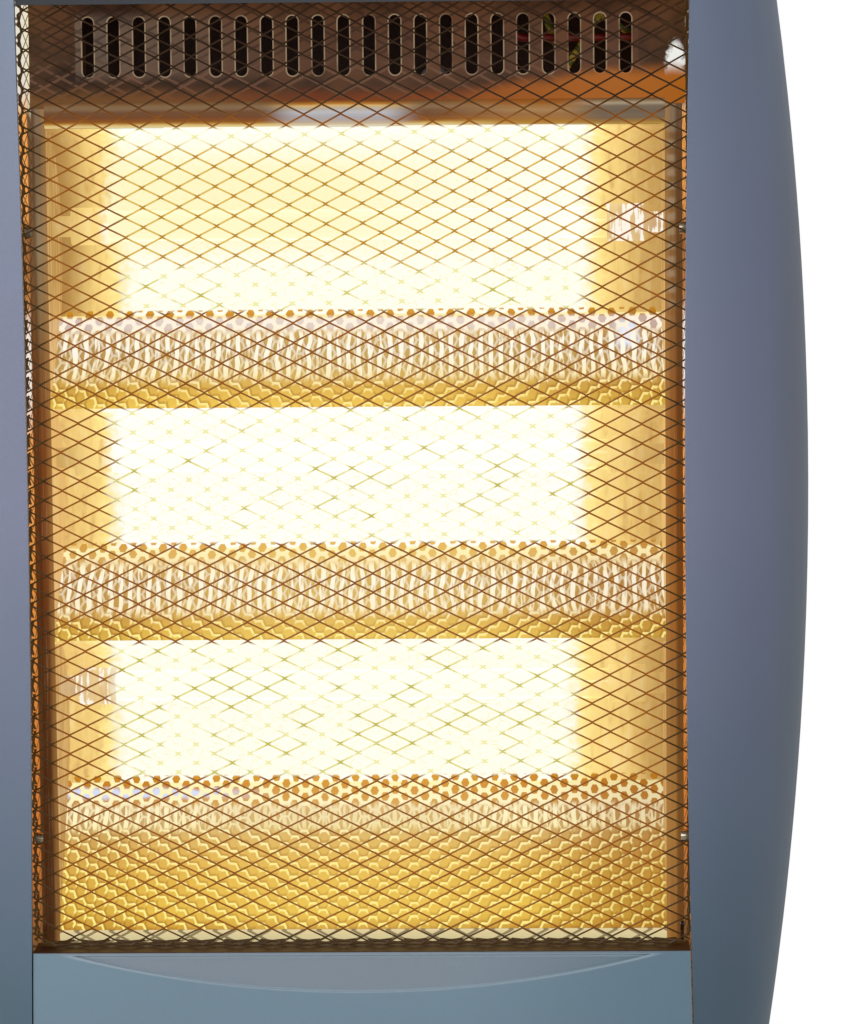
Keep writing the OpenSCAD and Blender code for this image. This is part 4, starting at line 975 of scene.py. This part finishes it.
def fold_back(point, across, edge, sign):
    """Carries a point past a fold line round a small radius and back along +Y."""
    run = sign * (point[across] - edge)
    if run <= 0:
        return
    lift = point.y - GUARD_Y * MM
    radius = FOLD_RADIUS * MM
    turn = min(run / radius, math.pi / 2)
    beyond = max(run - radius * math.pi / 2, 0.0)
    reach = radius - lift
    point[across] = edge + sign * reach * math.sin(turn)
    point.y = GUARD_Y * MM + radius - reach * math.cos(turn) + beyond


# How the sheet was pulled: each point of an even net of diamonds lies this far to the right and up from its
# place in the real sheet, in millimetres, by the constant, x, z, xz, xx and zz from LATTICE_MIDDLE in metres
LATTICE_MIDDLE = (-0.0017, 0.2959)
PULL_RIGHT = (-4.443, 34.0, 17.7, -3.0, 17.0, 49.0)
PULL_UP = (2.574, -9.3, 30.6, -71.0, -30.0, -103.0)
PULL_ROUNDS = 4


def pull(x, z):
    """How far the even net's point is from the real sheet's point at x, z in metres."""
    x, z = x - LATTICE_MIDDLE[0], z - LATTICE_MIDDLE[1]
    terms = (1.0, x, z, x * z, x * x, z * z)
    return [sum(part * term for part, term in zip(parts, terms)) * MM for parts in (PULL_RIGHT, PULL_UP)]


def even_place(look):
    """The place across and up in the even net of each point of the real sheet."""
    x = look.times(look.less(look.x, LATTICE_MIDDLE[0] / MM), MM)
    z = look.times(look.less(look.z, LATTICE_MIDDLE[1] / MM), MM)
    terms = (x, z, look.times(x, z), look.times(x, x), look.times(z, z))
    places = []
    for value, (constant, *parts) in ((look.x, PULL_RIGHT), (look.z, PULL_UP)):
        pulls = (look.times(term, part) for part, term in zip(parts, terms))
        places.append(look.add(value, constant, *pulls))
    return places


def diamond_sheet(columns, rows, middle):
    """Flat net of diamonds: a grid with a point in each field, without the grid's own lines."""
    bpy.ops.object.select_all(action="DESELECT")
    bpy.ops.mesh.primitive_grid_add(
        x_subdivisions=columns, y_subdivisions=rows, size=1, location=middle, rotation=(math.pi / 2, 0, 0)
    )
    guard = bpy.context.object
    guard.name = "guard_mesh"
    guard.scale = (columns * DIAMOND[0] * MM, rows * DIAMOND[1] * MM, 1)
    bpy.ops.object.transform_apply()
    corners = len(guard.data.vertices)
    bpy.ops.object.mode_set(mode="EDIT")
    bpy.ops.mesh.select_all(action="SELECT")
    bpy.ops.mesh.poke()
    bpy.ops.mesh.select_all(action="DESELECT")
    mesh = bmesh.from_edit_mesh(guard.data)
    for edge in mesh.edges:
        edge.select = not edge.is_boundary and all(v.index < corners for v in edge.verts)
    bpy.ops.mesh.dissolve_edges(use_verts=False)
    mesh = bmesh.from_edit_mesh(guard.data)
    for vertex in mesh.verts:
        even_x, even_z = vertex.co.x, vertex.co.z
        for _ in range(PULL_ROUNDS):
            right, up = pull(vertex.co.x, vertex.co.z)
            vertex.co.x, vertex.co.z = even_x - right, even_z - up
    bmesh.update_edit_mesh(guard.data)
    bpy.ops.object.mode_set(mode="OBJECT")
    strands = guard.modifiers.new("strands", "WIREFRAME")
    strands.thickness = STRAND * MM
    strands.use_even_offset = False
    strands.use_boundary = True
    bpy.ops.object.modifier_apply(modifier="strands")
    return guard


def make_guard():
    """The net cut to the flat sheet's outline, and folded back at both sides and at its foot."""
    quarter = FOLD_RADIUS * math.pi / 2
    wrapped = quarter + GUARD_FLANGE - FOLD_RADIUS
    flat_half = GUARD_HALF_WIDTH - FOLD_RADIUS + wrapped
    columns = 2 * math.ceil((flat_half + SPARE_WIDTH) / DIAMOND[0]) + 1
    rows = math.ceil((GUARD_HEAD - GUARD_FOOT + GUARD_FLANGE + SPARE_HEIGHT) / DIAMOND[1]) + 1
    middle_z = GUARD_HEAD - (rows - 1) * DIAMOND[1] / 2 + ROWS_OVER_HEAD * DIAMOND[1]
    guard = diamond_sheet(columns, rows, Vector((0.0, GUARD_Y, middle_z)) * MM)

    fold_x = (GUARD_HALF_WIDTH - FOLD_RADIUS) * MM
    fold_z = (GUARD_FOOT + FOLD_RADIUS) * MM
    foot = fold_z - (wrapped - FOOT_FLANGE_CUT) * MM
    half_steps = [n * quarter * MM / 2 for n in range(3)]
    cuts = [((side * (fold_x + step), 0, 0), (1, 0, 0)) for side in (-1, 1) for step in half_steps]
    cuts += [((0, 0, fold_z - step), (0, 0, 1)) for step in half_steps]
    ends = [
        ((flat_half * MM, 0, 0), (1, 0, 0)), ((-flat_half * MM, 0, 0), (-1, 0, 0)),
        ((0, 0, foot), (0, 0, -1)), ((0, 0, GUARD_HEAD * MM), (0, 0, 1)),
    ]
    bpy.ops.object.mode_set(mode="EDIT")
    for planes, at_end in ((cuts, False), (ends, True)):
        for place, normal in planes:
            bpy.ops.mesh.select_all(action="SELECT")
            bpy.ops.mesh.bisect(plane_co=place, plane_no=normal, clear_outer=at_end, use_fill=at_end)
    mesh = bmesh.from_edit_mesh(guard.data)
    middles = {face: face.calc_center_median() for face in mesh.faces}
    corner = [face for face, middle in middles.items() if abs(middle.x) > fold_x and middle.z < fold_z]
    bmesh.ops.delete(mesh, geom=corner, context="FACES")
    for vertex in mesh.verts:
        fold_back(vertex.co, 0, fold_x, 1)
        fold_back(vertex.co, 0, -fold_x, -1)
        fold_back(vertex.co, 2, fold_z, -1)
    bmesh.update_edit_mesh(guard.data)
    bpy.ops.object.mode_set(mode="OBJECT")
    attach(guard, "head")
    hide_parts("front_grille")
    return guard


# How much nearer the middle the glare's ends lie on the guard than on the sheets behind it, and the levels
# between which the guard stands before the glare of each lamp
GUARD_SHARE = 0.947
GLARE_BEFORE_GUARD = {"top": (335.5, 395.5), "middle": (258.7, 303.2), "bottom": (180.5, 224.9)}
AMBER_LEVELS = (351.0, 390.0)
GLOW_ENDS = (406.0, 396.0)


def guard_finish(guard):
    """Strands painted as glow: dark brown by the vent, warm brown below where the lamps light them. Before a
    lamp's glare they are painted washed out to orange or to almost nothing.
    """
    look = Look("guard_strands")
    strand_noise = look.noise(look.place, 0.15, 3.0)
    across = look.ragged(look.x, 0.08, 2.0, 12.0)

    def before(which):
        left, right = (side * GUARD_SHARE for side in WING_LOOKS[which]["glare_sides"])
        in_height = look.band(look.z, *GLARE_BEFORE_GUARD[which], 0.8)
        return look.times(look.band(across, left + 5, right - 3, 3.5), in_height)

    net_x, net_z = even_place(look)

    def from_crossing(shift):
        """Distance from the nearest crossing of one of the two interleaved sets."""
        side = look.repeat(look.add(look.over(net_x, DIAMOND[0]), shift), 0.5)
        up = look.repeat(look.add(look.over(look.less(net_z, GUARD_HEAD), DIAMOND[1]), shift), 0.5)
        return look.reach(look.times(side, DIAMOND[0]), look.times(up, DIAMOND[1]))

    crossing = look.fade(look.math("MINIMUM", from_crossing(0.0), from_crossing(0.5)), 1.6, 0.7)
    dark = look.hues(strand_noise, (16, 8, 3), (48, 30, 16))
    warm = look.hues(strand_noise, (104, 52, 4), (162, 96, 22))
    edge = look.hues(strand_noise, (36, 24, 8), (70, 48, 20))
    # Painted lamp light: the strands turn warm below the vent
    glow = look.mix(look.fade(look.z, *GLOW_ENDS), dark, warm)
    at_edge = look.either(look.fade(look.size(look.x), 99.0, 103.0), look.fade(look.z, 131.0, 126.0))
    glow = look.mix(at_edge, glow, edge)
    # Painted glare before each lamp: pale patches, olive crossings, and amber in a band before the top lamp
    uneven = look.drawn_noise(0.6, 1.0, 1.0, 0.12, 3.0)
    patches = look.fade(look.add(uneven, look.times(before("bottom"), 0.07)), 0.52, 0.68)
    dash = look.hues(patches, (254, 252, 226), (224, 216, 136))
    glare_washed = look.mix(crossing, dash, look.hues(patches, (236, 232, 164), (188, 180, 78)))
    amber = look.hues(crossing, (218, 180, 82), (180, 132, 34))
    in_amber = look.band(look.add(look.z, look.times(patches, 4.0)), *AMBER_LEVELS, 3.0)
    glow = look.mix(before("top"), glow, look.mix(in_amber, glare_washed, amber))
    glow = look.mix(look.either(before("middle"), before("bottom")), glow, glare_washed)
    look.glow(glow)
    look.surface(shade(34, 22, 12), look.add(look.times(strand_noise, 0.2), 0.4), 0.4)
    guard.data.materials.append(look.material)


# ---- stage ----

FLOOR_RADIUS = 6
FLOOR_GREY = 0.86
WHITE_FROM, WHITE_TO = 0.18, 0.40
MIRRORED_WHITE = 0.5
SKY_HUE, SKY_STRENGTH = (0.90, 0.94, 1.0, 1), 0.14
# Name, place, level aimed at, size, power and colour of each soft light
LIGHTS = (
    ("key", (-1.7, -1.3, 1.3), 0.28, (1.2, 1.2), 31, (1.0, 0.99, 0.97)),
    ("fill", (0.6, -1.9, 0.9), 0.28, (1.0, 1.0), 14, (0.9, 0.95, 1.0)),
    ("back", (0.4, 1.6, 1.3), 0.3, (1.2, 0.8), 12, (1.0, 1.0, 1.0)),
)


def background_rays(tree):
    """Where the white background shows instead of soft light, and how bright it is in mirrors."""
    rays = tree.node("ShaderNodeLightPath").outputs
    seen = tree.either(rays["Is Camera Ray"], rays["Is Glossy Ray"])
    brightness = tree.between(rays["Is Glossy Ray"], 1.0, MIRRORED_WHITE)
    return tree.either(seen, rays["Is Transmission Ray"]), brightness


def make_floor():
    """Pale floor that turns into the white background away from the heater."""
    bpy.ops.mesh.primitive_circle_add(vertices=96, radius=FLOOR_RADIUS, fill_type="NGON", location=(0, 0, 0))
    floor = bpy.context.object
    floor.name = "floor"
    material = bpy.data.materials.new("pale_floor")
    material.use_nodes = True
    material.node_tree.nodes.clear()
    tree = Tree(material.node_tree)
    x, y, z = tree.split(tree.node("ShaderNodeTexCoord").outputs["Object"])
    seen, brightness = background_rays(tree)
    far = tree.times(tree.fade(tree.reach(x, y), WHITE_FROM, WHITE_TO), seen)
    grey = (FLOOR_GREY, FLOOR_GREY, FLOOR_GREY, 1)
    matt = tree.node("ShaderNodeBsdfDiffuse", {"Color": grey}).outputs[0]
    white = tree.node("ShaderNodeEmission", {"Color": (1, 1, 1, 1), "Strength": brightness}).outputs[0]
    both = tree.node("ShaderNodeMixShader", {0: far, 1: matt, 2: white}).outputs[0]
    tree.node("ShaderNodeOutputMaterial", {"Surface": both})
    floor.data.materials.append(material)


def light_world():
    world = bpy.data.worlds.new("studio")
    world.use_nodes = True
    world.node_tree.nodes.clear()
    tree = Tree(world.node_tree)
    soft = tree.node("ShaderNodeBackground", {"Color": SKY_HUE, "Strength": SKY_STRENGTH}).outputs[0]
    seen, brightness = background_rays(tree)
    white = tree.node("ShaderNodeBackground", {"Color": (1, 1, 1, 1), "Strength": brightness}).outputs[0]
    both = tree.node("ShaderNodeMixShader", {0: seen, 1: soft, 2: white}).outputs[0]
    tree.node("ShaderNodeOutputWorld", {"Surface": both})
    bpy.context.scene.world = world


def place_lights():
    for name, place, level, size, power, colour in LIGHTS:
        lamp = bpy.data.lights.new(name, "AREA")
        lamp.shape = "RECTANGLE"
        lamp.size, lamp.size_y = size
        lamp.energy = power
        lamp.color = colour
        made = bpy.data.objects.new(name, lamp)
        bpy.context.scene.collection.objects.link(made)
        made.location = place
        made.rotation_euler = (Vector((0, 0, level)) - Vector(place)).to_track_quat("-Z", "Y").to_euler()


# ---- build ----

side_moulding()
plain_finishes()
front_moulding()
earth_sleeve()
rear_paint()
for trough in LAMP_LEVELS:
    lit_trough(trough)
lit_tubes()
lamp_ceramic()
lit_bar()
lit_rail()
lit_posts()
lit_side_plates()
vent_sheet()
guard_finish(make_guard())
make_floor()
light_world()
place_lights()
bpy.context.scene.view_settings.view_transform = "Standard"
